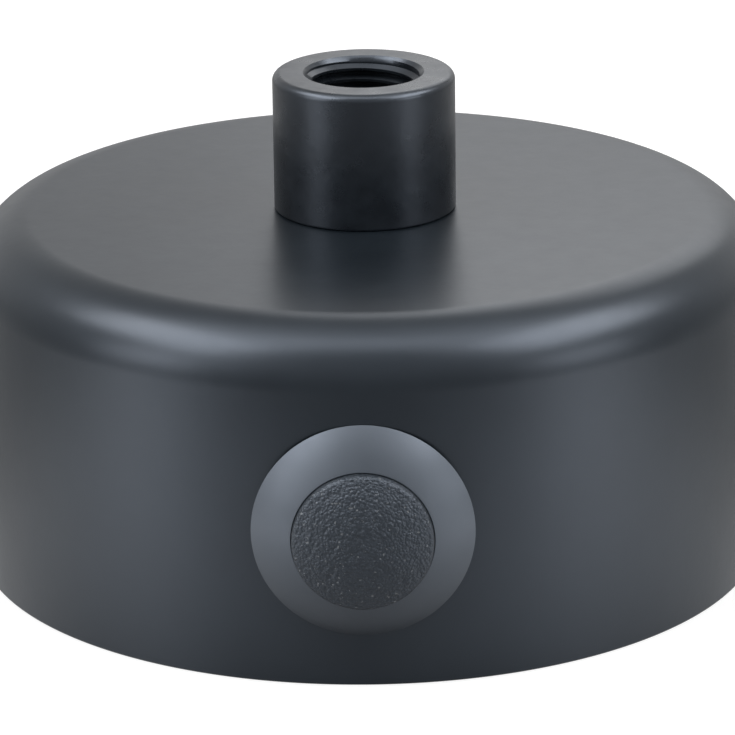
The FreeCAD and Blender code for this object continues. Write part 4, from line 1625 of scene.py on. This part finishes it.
@dataclass
class Studio:
    """White background, pale floor, soft boxes and the camera."""

    world_level: float = 0.45
    mirrored_front: float = 0.46
    mirrored_above: float = 0.76
    mirrored_back: float = 0.80
    mirrored_over: float = 0.45
    front_rise: tuple[float, float] = (0.0, 0.45)
    back_fall: tuple[float, float] = (0.30, 0.56)
    front_to_back: tuple[float, float] = (0.2, 0.95)
    windows: tuple[Glow, ...] = (
        Glow((-0.416, -0.073, 0.906), 0.62, 2.1),
        Glow((0.416, -0.073, 0.906), 0.62, 1.8),
        Glow((-0.660, -0.593, 0.462), 0.45, 0.8),
        Glow((-0.810, -0.420, 0.410), 0.34, 3.0),
        Glow((0.794, -0.516, 0.323), 0.45, 0.6),
    )
    floor_glow: float = 0.75
    floor_grey: float = 0.27
    floor_shine: float = 0.25
    floor_gloss: float = 0.3
    floor_size: float = 6.0
    floor_drop: float = 0.00002
    # painted light: round patches of floor emission that only reflections see, standing in for
    # lamp light on the floor
    painted_pools: tuple[Glow, ...] = (
        Glow((0.062, -0.050, 0.0), 0.075, 1.5),
        Glow((0.098, -0.066, 0.0), 0.055, 1.0),
    )
    pitch: float = 0.33537
    distance: float = 408.66
    roll: float = -0.01306
    turn: float = 0.0149
    lens: float = 224.2
    sensor: float = 36.0
    target: Place = (0.014, 0.0, 15.81)
    boxes: tuple[SoftBox, ...] = (
        SoftBox("key_left", -73, 48, 0.55, 0.44, 0.26, 2.2),
        SoftBox("key_right", 75, 46, 0.55, 0.44, 0.26, 2.2),
        SoftBox("side_left", -62, 10, 0.55, 0.26, 0.18, 0.45),
        SoftBox("side_right", 62, 10, 0.55, 0.26, 0.18, 0.45),
        SoftBox("overhead", -4, 70, 0.6, 0.40, 0.22, 0.6),
        SoftBox("back_right", 166, 36, 0.6, 0.34, 0.32, 0.54),
    )

    def camera(self) -> None:
        """Camera of the photograph: pitched down, rolled a little, then turned about Z."""
        cos, sin = math.cos(self.pitch), math.sin(self.pitch)
        ahead, up0, right0 = Vector((0, cos, -sin)), Vector((0, sin, cos)), Vector((1, 0, 0))
        right = math.cos(self.roll) * right0 + math.sin(self.roll) * up0
        up = -math.sin(self.roll) * right0 + math.cos(self.roll) * up0
        place = (Vector(self.target) - self.distance * ahead) * MM
        matrix = Matrix((right, up, -ahead)).transposed().to_4x4()
        matrix.translation = place
        lens = bpy.data.cameras.new("camera")
        lens.lens, lens.sensor_width = self.lens, self.sensor
        lens.clip_start, lens.clip_end = 0.02, 20.0
        made = bpy.data.objects.new("camera", lens)
        made.matrix_world = Matrix.Rotation(self.turn, 4, "Z") @ matrix
        bpy.context.scene.collection.objects.link(made)
        bpy.context.scene.camera = made

    def rays(self, wires: Wiring) -> tuple[Socket, Socket]:
        """Shares of rays that see the set plainly and of rays that mirror it.

        Args:
            wires: node tree of the world or the floor.

        Returns:
            One for camera and transmission rays, and one for glossy rays.
        """
        path = wires.node("ShaderNodeLightPath").outputs
        plain = wires.math("MAXIMUM", path["Is Camera Ray"], path["Is Transmission Ray"])
        return plain, path["Is Glossy Ray"]

    def world(self) -> None:
        """White where it is seen, a plain grey as light, and a room where it is mirrored.

        The room is dark low in front, lighter above and lightest low behind, with soft
        windows on both sides.
        """
        world = bpy.data.worlds.new("studio")
        world.use_nodes = True
        wires = Wiring(world.node_tree)
        plain, glossy = self.rays(wires)
        way = wires.node("ShaderNodeTexCoord").outputs["Generated"]
        _, depth, height = wires.parts(way)
        front = wires.spread(height, *self.front_rise, self.mirrored_front, self.mirrored_above)
        back = wires.spread(height, *self.back_fall, self.mirrored_back, self.mirrored_over)
        room = wires.spread(depth, *self.front_to_back, front, back)
        seen = wires.total(room, *(window.seen(wires, way) for window in self.windows))
        mirrored = wires.mix(glossy, self.world_level, seen)
        white = wires.node("ShaderNodeBackground")
        white.inputs["Color"].default_value = (1, 1, 1, 1)
        wires.join(wires.mix(plain, mirrored, 1.0), white.inputs["Strength"])
        output = wires.node("ShaderNodeOutputWorld")
        wires.join(white.outputs[0], output.inputs[0])
        bpy.context.scene.world = world

    def table(self) -> Material:
        """Material of the floor: it glows where it is seen and is clear from below.

        Glossy rays also see painted light on it: round glowing patches of emission, lit by no
        lamp, at both sides of the rose, because the patches read the size of X and not its sign.

        Returns:
            The material.
        """
        material = bpy.data.materials.new("floor")
        material.use_nodes = True
        wires = Wiring(material.node_tree)
        table = wires.node("ShaderNodeBsdfPrincipled")
        table.inputs["Base Color"].default_value = (*(self.floor_grey,) * 3, 1)
        table.inputs["Roughness"].default_value = self.floor_gloss
        table.inputs["Specular IOR Level"].default_value = self.floor_shine
        table.inputs["Emission Color"].default_value = (1, 1, 1, 1)
        plain, glossy = self.rays(wires)
        x, y, z = wires.parts(wires.node("ShaderNodeTexCoord").outputs["Object"])
        place = wires.vector(wires.math("ABSOLUTE", x), y, z)
        # painted light: glowing patches on the floor, added to its emission for glossy rays only
        painted_pools = wires.total(*(painted_pool.seen(wires, place) for painted_pool in self.painted_pools))
        mirrored = wires.math("MULTIPLY", painted_pools, glossy)
        glow = wires.math("MULTIPLY_ADD", plain, self.floor_glow, mirrored)
        wires.join(glow, table.inputs["Emission Strength"])
        mix = wires.node("ShaderNodeMixShader")
        behind = wires.node("ShaderNodeNewGeometry").outputs["Backfacing"]
        clear = wires.node("ShaderNodeBsdfTransparent").outputs[0]
        for target, source in zip(mix.inputs, (behind, table.outputs[0], clear)):
            wires.join(source, target)
        output = wires.node("ShaderNodeOutputMaterial")
        wires.join(mix.outputs[0], output.inputs["Surface"])
        return material

    def floor(self) -> None:
        """Pale floor, just under the rim, that keeps the shadow."""
        half, level = self.floor_size / 2, -self.floor_drop
        mesh = bpy.data.meshes.new("floor")
        spots = [(x * half, y * half, level) for x, y in ((-1, -1), (1, -1), (1, 1), (-1, 1))]
        mesh.from_pydata(spots, [], [(0, 1, 2, 3)])
        mesh.materials.append(self.table())
        floor = bpy.data.objects.new("floor", mesh)
        bpy.context.scene.collection.objects.link(floor)
        floor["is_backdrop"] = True

    def build(self) -> None:
        """Sets up camera, world, floor and lamps."""
        bpy.context.scene.view_settings.view_transform = "Standard"
        self.camera()
        self.world()
        self.floor()
        for box in self.boxes:
            box.build(Vector(self.target) * MM)


def corners(box: tuple[Vector, Vector]) -> list[list[float]]:
    """Lowest and highest corner as plain numbers."""
    return [[float(number) for number in corner] for corner in box]


def main() -> None:
    """Builds every sub-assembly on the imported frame, then the studio."""
    logging.basicConfig(level=logging.INFO, format="%(name)s %(message)s")
    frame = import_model()
    packed = corners(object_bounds())
    maker = Maker(frame["nodes"])
    for assembly in (Cup(), Neck(), Fixings(), TerminalBlock(), Switch()):
        assembly.build(maker)
        log.info("%s is ready", type(assembly).__name__)
    Studio().build()
    {"cad": packed, "visual": corners(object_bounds())}


if __name__ == "__main__":
    main()
